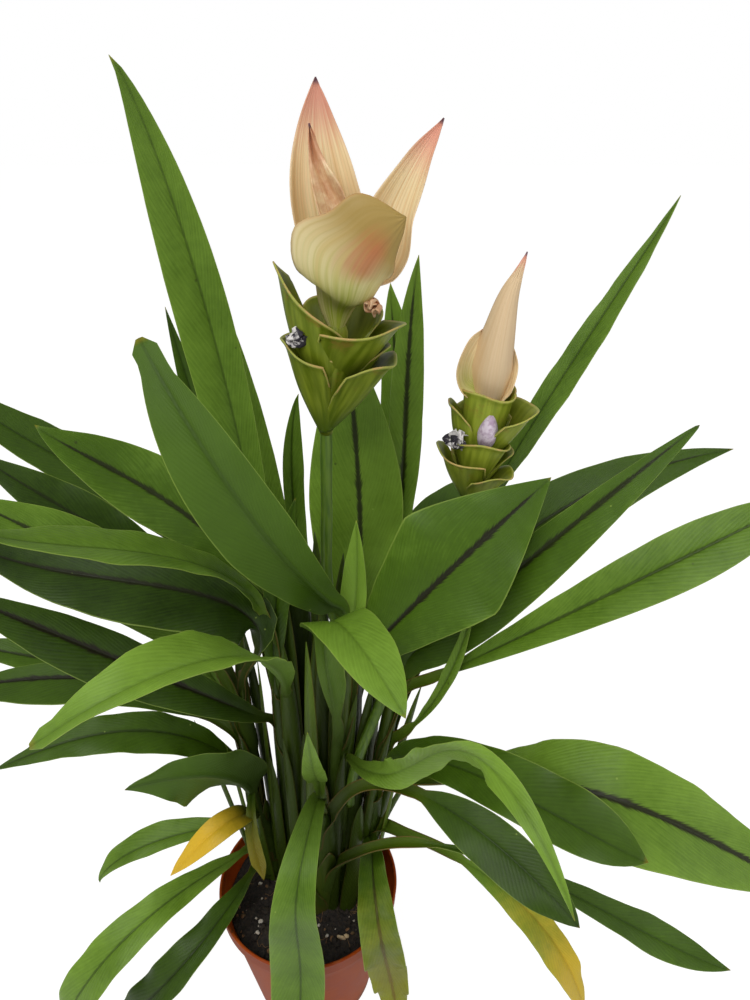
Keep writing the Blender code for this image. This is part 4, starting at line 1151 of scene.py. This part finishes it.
def stem_material(name, pale, dark, scale):
    """A smooth stem, with fine lengthwise streaks."""
    maker, shader = new_material(name)
    place = maker.place()
    x, y, z = maker.parts(place)
    streak = maker.noise(maker.vector(x * 9.0, y * 9.0, z), scale, 3.0)
    mottle = maker.group("Mottle", Vector=place, Scale=60.0)["Value"]
    patches = maker.ease(mottle, 0.55, 0.7) * 0.3
    final = maker.coats(dark, (maker.ease(streak, 0.3, 0.7), pale), (patches, dark))
    dress(maker, shader, final, mottle * 0.2 + 0.32, streak, 0.3, 0.0004)


def pot_material(colours):
    maker, shader = new_material("terracotta", specular=0.12)
    place = maker.place()
    x, y, z = maker.parts(place)
    mottle = maker.group("Mottle", Vector=place, Scale=30.0)["Value"]
    scuff = maker.noise(maker.vector(x * 0.25, y * 0.25, z), 420.0, 4.0)
    splash = maker.group("Specks", Vector=place, Scale=160.0, Amount=0.12, Size=0.25)["Mask"]
    splash = maker.ease(z, 0.085, 0.113) * splash
    grime = maker.ease(z, 0.02, 0.0) * maker.ease(mottle, 0.4, 0.6)
    final = maker.coats(
        colours.pot, (maker.ease(mottle, 0.35, 0.65), colours.pot_light),
        (maker.ease(scuff, 0.62, 0.72) * 0.35, colours.pot_dust),
        (splash * 0.6, colours.soil), (grime * 0.5, colours.soil),
    )
    dress(maker, shader, final, mottle * 0.3 + 0.26, maker.noise(place, 1500.0, 2.0), 0.12, 0.0001)


def soil_material(colours):
    maker, shader = new_material("dark_soil")
    place = maker.place()
    fine = maker.noise(place, 520.0, 6.0, 0.7)
    dried = maker.ease(maker.noise(place, 60.0, 3.0), 0.55, 0.75)
    grains = maker.group("Specks", Vector=place, Scale=420.0, Amount=0.05, Size=0.3)["Mask"]
    final = maker.coats(
        colours.soil_dark, (maker.ease(fine, 0.38, 0.66), colours.soil),
        (dried * 0.35, colours.soil_light), (grains * 0.7, colours.crumb),
    )
    dress(maker, shader, final, fine * 0.5 + 0.55, fine, 0.9, 0.0015)


def speckled_material(name, first, second, scale, roughness):
    """A plain rough matter in two tones."""
    maker, shader = new_material(name)
    fine = maker.noise(maker.place(), scale, 4.0, 0.6)
    dress(maker, shader, maker.mix(maker.ease(fine, 0.35, 0.65), first, second), roughness, fine, 0.6, 0.0005)


def floret_material(colours):
    maker, shader = new_material("withered_floret")
    shade = maker.mark("habit")[0]
    fine = maker.noise(maker.place(), 380.0, 3.0)
    pale = maker.ease(fine + (shade * 0.5 - 0.25), 0.42, 0.58)
    body = maker.mix(pale, colours.floret_dark, colours.floret_pale)
    dress(maker, shader, body, fine * 0.3 + 0.45, fine, 0.6, 0.0004)


def sheath_material(colours):
    maker, shader = new_material("sheath_green")
    across, share, _ = maker.mark("blade")
    place = maker.place()
    x, y, z = maker.parts(place)
    streak = maker.noise(maker.vector(x * 8.0, y * 8.0, z), 55.0, 3.0)
    mottle = maker.group("Mottle", Vector=place, Scale=50.0)["Value"]
    low = z + (mottle * 0.05 - 0.025)
    edge = maker.math("MAXIMUM", maker.ease(abs(across), 0.9, 1.0), maker.ease(share, 0.96, 1.0))
    # Painted shade: sheaths low in the middle of the plant are darkened towards the shade green, as the
    # leaves above would shadow them.
    inner = maker.group("Inner shade", Vector=place)["Mask"]
    final = maker.coats(
        colours.leaf_mid, (maker.ease(streak, 0.3, 0.7), colours.stem),
        (maker.ease(low, 0.16, 0.1) * 0.6, colours.bract_foot),
        (maker.ease(low, 0.115, 0.097) * 0.6, colours.sheath_edge),
        (edge * 0.7, colours.sheath_edge), (inner * 0.5, colours.shade),
    )
    dress(maker, shader, final, mottle * 0.2 + 0.34, streak, 0.4, 0.0005)


def pot_radius(height):
    """The radius of the pot's outside below its rim band."""
    return POT_FOOT + (POT_MOUTH - POT_FOOT) * height / POT_HEIGHT


def turned_part(profile, steps, lift=None, marks=()):
    """(places, faces, marks) of a solid turned from (radius, height) rows, the first and last on its axis.

    lift(x, y, row) is added to the heights.
    """
    angle = np.arange(steps) / steps * tau
    rows = np.asarray(profile[1:-1], float)
    x, y = rows[:, :1] * np.cos(angle), rows[:, :1] * np.sin(angle)
    z = rows[:, 1:] * np.ones(steps)
    ends = np.array([[0, 0, profile[0][1]], [0, 0, profile[-1][1]]], float)
    if lift is not None:
        z = z + lift(x, y, np.arange(1, len(rows) + 1)[:, None])
        ends[0, 2] += float(lift(np.zeros((1, 1)), np.zeros((1, 1)), np.zeros((1, 1), int))[0, 0])
    number = np.arange(len(rows) * steps).reshape(len(rows), steps)
    after = np.roll(number, -1, axis=1)
    walls = np.stack([number[:-1], after[:-1], after[1:], number[1:]], -1).reshape(-1, 4).tolist()
    first, last = len(rows) * steps, len(rows) * steps + 1
    fans = [[first, b, a] for a, b in zip(number[0].tolist(), after[0].tolist())]
    fans += [[last, a, b] for a, b in zip(number[-1].tolist(), after[-1].tolist())]
    places = np.concatenate([np.stack([x, y, z], -1).reshape(-1, 3), ends])
    return places, walls + fans, {mark: np.zeros_like(places) for mark in marks}


def soil_lift(x, y, row=0):
    """How far the soil's top stands above SOIL_TOP: clods, hollows and a mound round each shoot."""
    rise = (
        1.1 * np.sin(x * 0.21 + 1.3) * np.cos(y * 0.17 - 0.4) + 0.8 * np.sin(x * 0.43 - y * 0.37 + 2)
        + 0.55 * np.sin(x * 0.91 + y * 0.63) * np.sin(y * 1.07 - x * 0.35 + 1)
        + 0.4 * np.sin(x * 1.9 + 0.7 * y + 2 * np.sin(y * 0.8))
        + 0.3 * np.sin(2.7 * y - 1.2 * x + 2 * np.sin(x))
    )
    for places, foot, _ in SHOOTS.values():
        away = np.hypot(x - places[0][0], y - places[0][1])
        rise = rise + 3.5 * np.exp(-((away - foot) / 7) ** 2)
    return rise * (np.asarray(row) <= SOIL_ROWS)


def soil_place(x, y, above=0):
    """A place on the soil's top, or above it."""
    return np.array([x, y, SOIL_TOP + float(soil_lift(x, y)) + above])


def lump_part(rng, centre, size, stretch=0.3, rough=0.16):
    """(places, faces, marks) of one uneven crumb."""
    form = bmesh.new()
    bmesh.ops.create_icosphere(form, subdivisions=2, radius=1)
    places = np.array([v.co[:] for v in form.verts])
    faces = [[v.index for v in face.verts] for face in form.faces]
    form.free()
    push = rng.normal(size=(4, 3)) * 2.2
    bulge = 1 + rough * np.sin(places @ push.T + rng.uniform(0, tau, 4)).sum(axis=1)
    places = places * bulge[:, None] * (1 + rng.uniform(-stretch, stretch, 3)) * size
    turn = np.array(Euler(rng.uniform(0, tau, 3)).to_matrix())
    return places @ turn.T + centre, faces, {}


def on_soil(rng, most):
    """A place on the soil's top, clear of the shoots."""
    while True:
        reach, angle = most * rng.random() ** 0.5, rng.uniform(0, tau)
        x, y = reach * cos(angle), reach * sin(angle)
        if all(np.hypot(x - p[0][0], y - p[0][1]) > foot + 2 for p, foot, _ in SHOOTS.values()):
            return soil_place(x, y)


def fibre_part(rng, edge):
    """(places, faces, marks) of a root fibre that wanders over the soil, or None where it would leave it."""
    start = on_soil(rng, edge - 6)
    way = rng.uniform(0, tau)
    line = []
    for step in range(FIBRE_STEPS):
        away = step * FIBRE_STEP
        line.append(soil_place(start[0] + away * cos(way), start[1] + away * sin(way), 0.5))
        way += rng.uniform(-0.6, 0.6)
    line = [place for place in line if np.hypot(place[0], place[1]) < edge - 1.5]
    if len(line) <= 3:
        return None
    return tube_part(route_through(line, FIBRE_ROWS), np.full(FIBRE_ROWS, FIBRE_RADIUS), 6)


def sheath_part(key, high, azimuth, wrap, stand, seed):
    """(places, faces, marks) of a loose sheath round a shoot, with an oblique mouth.

    high is its height above the soil, and it starts SHEATH_ROOT below.
    """
    rng = np.random.default_rng(seed)
    axis, radii = shoot_axis(key)
    grid, share, across = grid_shares(26, 23)
    mouth = 1 - MOUTH_SLANT * np.abs(across) ** 1.6
    height = SOIL_TOP - SHEATH_ROOT + (high + SHEATH_ROOT) * share * mouth
    middle = [np.interp(height, axis[:, 2], axis[:, k]) for k in (0, 1)]
    radius = np.interp(height, axis[:, 2], radii) + stand + 1.6 * share ** 3
    radius = radius + 0.35 * np.sin(across * rng.uniform(3, 6) + share * 5)
    angle = radians(azimuth) + across * radians(wrap) * (1 - 0.5 * share ** 3)
    places = np.stack([middle[0] + radius * np.cos(angle), middle[1] + radius * np.sin(angle), height], -1)
    return inward_sheet(places, SHEATH_THICKNESS, {"blade": filled(grid, across, share, 0)})


def tint(name, description, code):
    """A colour that a user can change."""
    return FloatVectorProperty(
        name=name, description=description, default=colour(code), subtype="COLOR", size=4, min=0, max=1
    )


class SiamTulipColours(PropertyGroup):
    leaf_dark: tint("Leaf, deep", "The darkest green of a leaf's upper side", "1B2D03")
    leaf_mid: tint("Leaf, middle", "The usual green of a leaf's upper side", "46640E")
    leaf_bright: tint("Leaf, bright", "The green of a young leaf", "82A638")
    leaf_yellow: tint("Leaf, yellowed", "The gold of an ageing leaf", "DEB42C")
    underside: tint("Under side", "The duller green below a leaf", "4C691C")
    stripe: tint("Midrib stripe", "The maroon-black band along a midrib", "1E1410")
    stripe_faint: tint("Faint midrib stripe", "The band along a midrib that is only a darker green", "20300A")
    # Painted shade: the dark green laid over pieces low in the middle of the plant, where the leaves above
    # shadow them.
    shade: tint("Inner shade", "The dull dark green low down in the middle", "1C2606")
    margin: tint("Leaf margin", "The pale thin edge of a leaf", "97AC4C")
    stem: tint("Petiole", "The yellowish green of a petiole", "58690F")
    sheath_edge: tint("Sheath edge", "The dry reddish edge of a sheath", "7A5A2C")
    speck: tint("Leaf specks", "Small dark blemishes", "2A2A12")
    cream: tint("Cream bract", "The body of a coloured bract", "F7E4B8")
    cream_deep: tint("Cream bract, deeper", "The warmer streaks of a coloured bract", "EBCB96")
    bract_vein: tint("Bract veins", "The fine lengthwise veins of a coloured bract", "B4B068")
    bract_pink: tint("Bract blush", "The pink towards the tip of a coloured bract", "E08C7C")
    bract_tip: tint("Bract point", "The dark point of a coloured bract", "75505A")
    bract_edge: tint("Bract edge", "The tanned edge of a coloured bract", "D6A074")
    blotch: tint("Bract blotch", "The orange-red patch on the hooded bract", "B8643C")
    # Painted shade: the olive tan that darkens the top of the hooded bract where it bends away from the
    # light.
    painted_crest_shade: tint("Hood crest", "The olive tan at the top of the hooded bract", "9C8038")
    withered: tint("Withered bract", "The brown of dry bract", "CC976E")
    lime: tint("Lime", "The fresh green at the foot of a bract", "A0AC38")
    olive_bract: tint("Green bract", "The olive of the lower bracts", "5A6B0A")
    bract_foot: tint("Green bract, foot", "The darker foot of a green bract", "485C08")
    bract_inner: tint("Green bract, inside", "The inner side of a green bract", "6A6A12")
    bract_stain: tint("Green bract, stain", "Brown staining near a rim", "8A6A2C")
    bract_rim: tint("Green bract, rim", "The pale rim of a green bract", "B4B45C")
    stalk: tint("Stalk", "The green of a flower stalk", "557018")
    stalk_deep: tint("Stalk, deeper", "The streaks along a flower stalk", "3E5A10")
    floret_dark: tint("Withered flower", "The purple-black of a withered flower", "28222E")
    floret_pale: tint("Withered flower, pale", "Its bleached parts", "DAD5D2")
    bud: tint("Flower bud", "The lavender white of a flower bud", "D9CBD8")
    bud_deep: tint("Flower bud, deeper", "The veins of a flower bud", "A88FA6")
    tan: tint("Dry flower", "The beige of a dry flower", "D8B892")
    pot: tint("Pot", "The terracotta of the pot", "933A0C")
    pot_light: tint("Pot, lighter", "Its lighter drift", "A04812")
    pot_dust: tint("Pot dust", "Dust and scuffs on the pot", "A8643A")
    soil: tint("Soil", "The brown of the soil", "352A20")
    soil_dark: tint("Soil, deep", "The gaps between the clods", "15110D")
    soil_light: tint("Soil, dry", "Drier soil", "5C4C30")
    crumb: tint("Crumbs", "Pale grains in the soil", "A79A88")
    chip: tint("Bark chip", "Chips of bark", "7A5638")
    chip_pale: tint("Pale chip", "A fresh chip of wood", "D2B78A")
    perlite: tint("Perlite", "White perlite", "C9C3B8")
    floor: tint("Floor", "The studio floor", "F4F4F4")


class SiamTulipSizes(PropertyGroup):
    perlite_count: IntProperty(name="Perlite", description="How many perlite grains", default=70, min=0)
    chip_count: IntProperty(name="Bark chips", description="How many chips of bark", default=60, min=0)
    clod_count: IntProperty(name="Soil crumbs", description="How many loose soil crumbs", default=230, min=0)
    fibre_count: IntProperty(name="Fibres", description="How many root fibres", default=34, min=0)
    stalk_radius: FloatProperty(
        name="Stalk radius", description="Half the width of a flower stalk", default=STALK_RADIUS * MM,
        min=0.001, max=0.006, subtype="DISTANCE", unit="LENGTH", precision=4,
    )
    world_strength: FloatProperty(name="World", description="Strength of the even light", default=0.4, min=0)
    key_power: FloatProperty(
        name="Key lamp", description="Power of the lamp above the front", default=26, min=0, unit="POWER"
    )
    fill_power: FloatProperty(
        name="Fill lamp", description="Power of the lamp on the right", default=6, min=0, unit="POWER"
    )
    lens: FloatProperty(name="Lens", description="The camera's focal length", default=27, min=10)


def settings():
    """The scene's colours and sizes."""
    return bpy.context.scene.siam_tulip_colours, bpy.context.scene.siam_tulip_sizes


def add_piece(name, part, finish, nodes=()):
    """Makes a piece in a finish, riding on the plant's body and standing for its CAD nodes."""
    obj = mesh_object(name, *part)
    if finish not in bpy.data.materials:
        raise RuntimeError(f"make the finishes before {name}")
    obj.data.materials.append(bpy.data.materials[finish])
    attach(obj, "root")
    if nodes:
        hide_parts(*nodes)
    return obj


class SiamTulipFinishes(Operator):
    """Make the shader node groups and the finishes of every piece"""

    bl_idname = "siam_tulip.finishes"
    bl_label = "Finishes"

    def execute(self, context):
        colours, _ = settings()
        veins_group()
        stripe_group()
        specks_group()
        mottle_group()
        painted_shade_group()
        leaf_material(colours)
        bract_material(colours)
        green_bract_material(colours)
        stem_material("flower_stalk_green", colours.stalk, colours.stalk_deep, 60.0)
        sheath_material(colours)
        pot_material(colours)
        soil_material(colours)
        floret_material(colours)
        speckled_material("flower_bud", colours.bud, colours.bud_deep, 300.0, 0.5)
        speckled_material("dry_flower", colours.tan, colours.withered, 260.0, 0.6)
        speckled_material("bark_chip", colours.chip, colours.soil_light, 400.0, 0.8)
        speckled_material("pale_chip", colours.chip_pale, colours.crumb, 300.0, 0.8)
        speckled_material("perlite", colours.perlite, colours.crumb, 700.0, 0.9)
        return {"FINISHED"}


class SiamTulipLeaves(Operator):
    """Make the leaves, each with its petiole and the sheath round its shoot"""

    bl_idname = "siam_tulip.leaves"
    bl_label = "Leaves"

    def execute(self, context):
        for leaf in LEAVES:
            inner = [other for other in LEAVES if other.shoot == leaf.shoot and other.rise > leaf.rise]
            add_piece(leaf.name, leaf_part(leaf, len(inner)), "leaf_green", ["leaf_" + leaf.name])
        for leaf in SPRIGS:
            add_piece(leaf.name, leaf_part(leaf, 0), "leaf_green")
        return {"FINISHED"}


class SiamTulipShoots(Operator):
    """Make the shoots: tight bundles of sheaths, with looser ones round their feet"""

    bl_idname = "siam_tulip.shoots"
    bl_label = "Shoots"

    def execute(self, context):
        for place, key in enumerate(SHOOTS):
            points, radii = shoot_axis(key)
            radii = radii * (1 - 0.35 * ease(np.linspace(0, 1, len(radii)), 0.93, 1))
            parts = [tube_part(points, radii, 40, ribs=3, rib_depth=0.035, marks=("blade",))]
            for layer in range(3):
                high = 34 + 26 * layer + 7 * (place % 3)
                azimuth, wrap = 70 + 130 * layer + 47 * place, 150 - 14 * layer
                stand = 1.5 - 0.42 * layer
                parts.append(sheath_part(key, high, azimuth, wrap, stand, 10 * place + layer))
            name = SHOOT_NAMES[key]
            add_piece(name + "_sheaths", join_parts(parts), "sheath_green", [name])
        return {"FINISHED"}


class SiamTulipStraps(Operator):
    """Make the wide petioles that stand close together in the middle of the plant"""

    bl_idname = "siam_tulip.straps"
    bl_label = "Petioles"

    def execute(self, context):
        for order, (name, straps) in enumerate(STRAPS.items()):
            parts = [strap_part(strap, 100 * order + place) for place, strap in enumerate(straps)]
            add_piece(f"petioles_{name}", join_parts(parts), "leaf_green")
        return {"FINISHED"}


class SiamTulipStalks(Operator):
    """Make the two flower stalks"""

    bl_idname = "siam_tulip.stalks"
    bl_label = "Flower stalks"

    def execute(self, context):
        radius = settings()[1].stalk_radius / MM
        for index, route in ((1, STALK_1), (2, STALK_2)):
            points = route_through(route, 90)
            share = np.linspace(0, 1, len(points))
            swell = radius * (1 + 0.03 * np.sin(share * 23)) * (1.04 - 0.08 * share)
            part = tube_part(points, swell, 32, ribs=8, rib_depth=0.012, marks=("blade",))
            add_piece(f"scape_{index}", part, "flower_stalk_green", [f"flower_stalk_{index}"])
        return {"FINISHED"}


class SiamTulipGreenBracts(Operator):
    """Make the green bracts of both flower heads"""

    bl_idname = "siam_tulip.green_bracts"
    bl_label = "Green bracts"

    def execute(self, context):
        for index in HEAD_FEET:
            nodes = [f"green_bracts_{index}"]
            add_piece(f"green_cups_{index}", head_part(index), "cup_green", nodes)
        return {"FINISHED"}


class SiamTulipColouredBracts(Operator):
    """Make the cream and pink bracts of both flower heads"""

    bl_idname = "siam_tulip.coloured_bracts"
    bl_label = "Coloured bracts"

    def execute(self, context):
        for bract in BRACTS:
            add_piece("petal_" + bract.name, bract_part(bract), "petal_cream", [bract.name])
        return {"FINISHED"}


class SiamTulipSmallFlowers(Operator):
    """Make the withered small flowers and the flower bud in the green bracts"""

    bl_idname = "siam_tulip.small_flowers"
    bl_label = "Small flowers"

    def execute(self, context):
        for name, (finish, *flower) in SMALL_FLOWERS.items():
            add_piece(name, crumpled_part(*flower), finish)
        route = route_through(BUD, BUD_ROWS)
        share = np.linspace(0, 1, BUD_ROWS)
        radii = 0.3 + 5.2 * np.sin(pi * np.clip(share * 0.93 + 0.05, 0, 1)) ** 0.7
        part = tube_part(route, radii, 24, ribs=3, rib_depth=0.06, marks=("blade",))
        add_piece("flower_bud_2", part, "flower_bud")
        return {"FINISHED"}


class SiamTulipPot(Operator):
    """Make the nursery pot, with its rolled rim and drain holes"""

    bl_idname = "siam_tulip.pot"
    bl_label = "Pot"

    def execute(self, context):
        levels = (10, 30, 50, 70, 90, 101)
        floor = [(0, 1.8), (pot_radius(2) - 5, 1.8), (pot_radius(2) - 2.6, 2.2)]
        inner = [(pot_radius(z) - POT_WALL, z) for z in (3.2, *levels)]
        outer = [(pot_radius(z), z) for z in (*levels[::-1], 3)]
        foot = [(pot_radius(1) - 0.3, 1.1), (pot_radius(0) - 1, 0.2), (pot_radius(0) - 2, 0), (0, 0)]
        profile = floor + inner + POT_RIM + outer + foot
        pot = add_piece("nursery_pot", turned_part(profile, POT_SIDES), "terracotta", ["pot"])
        cutters = []
        for index in range(DRAIN_HOLES):
            angle = tau * index / DRAIN_HOLES
            line = [(DRAIN_REACH * cos(angle), DRAIN_REACH * sin(angle), z) for z in (-2, 0.5, 4)]
            cutters.append(tube_part(line, [DRAIN_RADIUS] * 3, 32))
        cutter = mesh_object("drain_cutter", *join_parts(cutters))
        holes = pot.modifiers.new("drain_holes", "BOOLEAN")
        holes.object, holes.operation, holes.solver = cutter, "DIFFERENCE", "EXACT"
        graph = bpy.context.evaluated_depsgraph_get()
        cut = bpy.data.meshes.new_from_object(pot.evaluated_get(graph))
        pot.modifiers.clear()
        pot.data = cut
        bpy.data.objects.remove(cutter)
        return {"FINISHED"}


class SiamTulipSoil(Operator):
    """Make the potting soil, with its crumbs, chips and fibres"""

    bl_idname = "siam_tulip.soil"
    bl_label = "Soil"

    def execute(self, context):
        sizes = settings()[1]
        edge = pot_radius(SOIL_TOP) - SOIL_GAP
        top = [(edge * k / SOIL_ROWS, SOIL_TOP) for k in range(SOIL_ROWS + 1)]
        below = [(pot_radius(z) - SOIL_GAP, z) for z in (95, 85, 60, 30, 6)]
        part = turned_part(top + below + [(0, 6)], SOIL_SIDES, soil_lift)
        add_piece("potting_soil", part, "dark_soil", ["soil"])
        rng = np.random.default_rng(SOIL_SEED)
        kinds = (
            ("perlite_grains", sizes.perlite_count, (0.5, 1.5), "perlite"),
            ("bark_chips", sizes.chip_count, (0.8, 2.4), "bark_chip"),
            ("soil_crumbs", sizes.clod_count, (0.6, 2.3), "dark_soil"),
        )
        for name, count, (small, large), finish in kinds:
            parts = []
            for _ in range(count):
                size = small + (large - small) * rng.random() ** 2
                parts.append(lump_part(rng, on_soil(rng, edge - 2.5) + (0, 0, size * 0.25), size))
            if parts:
                add_piece(name, join_parts(parts), finish)
        chips = [lump_part(rng, soil_place(*place, above), size, 0.5) for place, above, size in PALE_CHIPS]
        add_piece("pale_chips", join_parts(chips), "pale_chip")
        parts = [part for _ in range(sizes.fibre_count) if (part := fibre_part(rng, edge))]
        if parts:
            add_piece("root_fibres", join_parts(parts), "bark_chip")
        return {"FINISHED"}


def floor_material(colours):
    """A floor that looks white to the camera and gives a plain bounce to everything else."""
    made = bpy.data.materials.new("floor_white")
    made.use_nodes = True
    made.node_tree.nodes.clear()
    maker = Maker(made.node_tree)
    seen = maker.wire("LightPath", {}, "Is Camera Ray")
    matt = maker.wire("BsdfDiffuse", {"Color": colours.floor})
    dim = maker.wire("BsdfDiffuse", {"Color": (0.3, 0.3, 0.3, 1)})
    glow = maker.wire("Emission", {"Color": (1, 1, 1, 1), "Strength": 0.88})
    both = maker.wire("AddShader", {0: dim, 1: glow})
    maker.node("OutputMaterial", {"Surface": maker.wire("MixShader", {0: seen, 1: matt, 2: both})})
    return made


def studio_world(strength):
    """Even light of the given strength, behind a background that looks white."""
    made = bpy.data.worlds.new("studio")
    made.use_nodes = True
    made.node_tree.nodes.clear()
    maker = Maker(made.node_tree)
    seen = maker.wire("LightPath", {}, "Is Camera Ray")
    light = {"Color": (1, 1, 1, 1), "Strength": seen * (1 - strength) + strength}
    maker.node("OutputWorld", {"Surface": maker.wire("Background", light)})
    return made


class SiamTulipStage(Operator):
    """Make the floor, the even light, the lamps and the camera"""

    bl_idname = "siam_tulip.stage"
    bl_label = "Stage"

    def execute(self, context):
        colours, sizes = settings()
        scene = context.scene
        scene.view_settings.view_transform = "Standard"
        corners = [(FLOOR_HALF * x, FLOOR_HALF * y, 0) for x, y in ((-1, -1), (1, -1), (1, 1), (-1, 1))]
        floor = mesh_object("floor", corners, [[0, 1, 2, 3]])
        floor.data.materials.append(floor_material(colours))
        scene.world = studio_world(sizes.world_strength)

        for (name, (place, size)), power in zip(LAMPS.items(), (sizes.key_power, sizes.fill_power)):
            lamp = bpy.data.lights.new(name, "AREA")
            lamp.energy, lamp.size, lamp.shape = power, size, "DISK"
            obj = bpy.data.objects.new(name, lamp)
            scene.collection.objects.link(obj)
            obj.location = place
            obj.rotation_euler = (Vector(LAMP_AIM) - Vector(place)).to_track_quat("-Z", "Y").to_euler()

        lens = bpy.data.cameras.new("camera")
        lens.lens, lens.sensor_width, lens.sensor_fit = sizes.lens, 36, "AUTO"
        lens.clip_start, lens.clip_end = 0.02, 50
        camera = bpy.data.objects.new("camera", lens)
        scene.collection.objects.link(camera)
        camera.location = CAMERA_PLACE
        camera.rotation_euler = (radians(CAMERA_TILT), 0, 0)
        scene.camera = camera
        return {"FINISHED"}


STEPS = (
    SiamTulipFinishes, SiamTulipPot, SiamTulipSoil, SiamTulipShoots, SiamTulipStraps, SiamTulipLeaves,
    SiamTulipStalks, SiamTulipGreenBracts, SiamTulipColouredBracts, SiamTulipSmallFlowers, SiamTulipStage,
)


class SiamTulipPanel(Panel):
    """The steps that make the plant, and its sizes and colours"""

    bl_idname = "VIEW3D_PT_siam_tulip"
    bl_label = "Siam tulip"
    bl_space_type = "VIEW_3D"
    bl_region_type = "UI"
    bl_category = "Siam tulip"

    def draw(self, context):
        for step in STEPS:
            self.layout.operator(step.bl_idname)
        for group in settings():
            box = self.layout.box()
            for name in group.bl_rna.properties.keys():
                if name not in ("rna_type", "name"):
                    box.prop(group, name)


CLASSES = (SiamTulipColours, SiamTulipSizes) + STEPS + (SiamTulipPanel,)


def register():
    for made in CLASSES:
        bpy.utils.register_class(made)
    bpy.types.Scene.siam_tulip_colours = PointerProperty(type=SiamTulipColours)
    bpy.types.Scene.siam_tulip_sizes = PointerProperty(type=SiamTulipSizes)


def unregister():
    del bpy.types.Scene.siam_tulip_sizes
    del bpy.types.Scene.siam_tulip_colours
    for made in reversed(CLASSES):
        bpy.utils.unregister_class(made)


def main():
    register()
    for step in STEPS:
        group, name = step.bl_idname.split(".")
        getattr(getattr(bpy.ops, group), name)()
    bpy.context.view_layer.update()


if __name__ == "__main__":
    main()
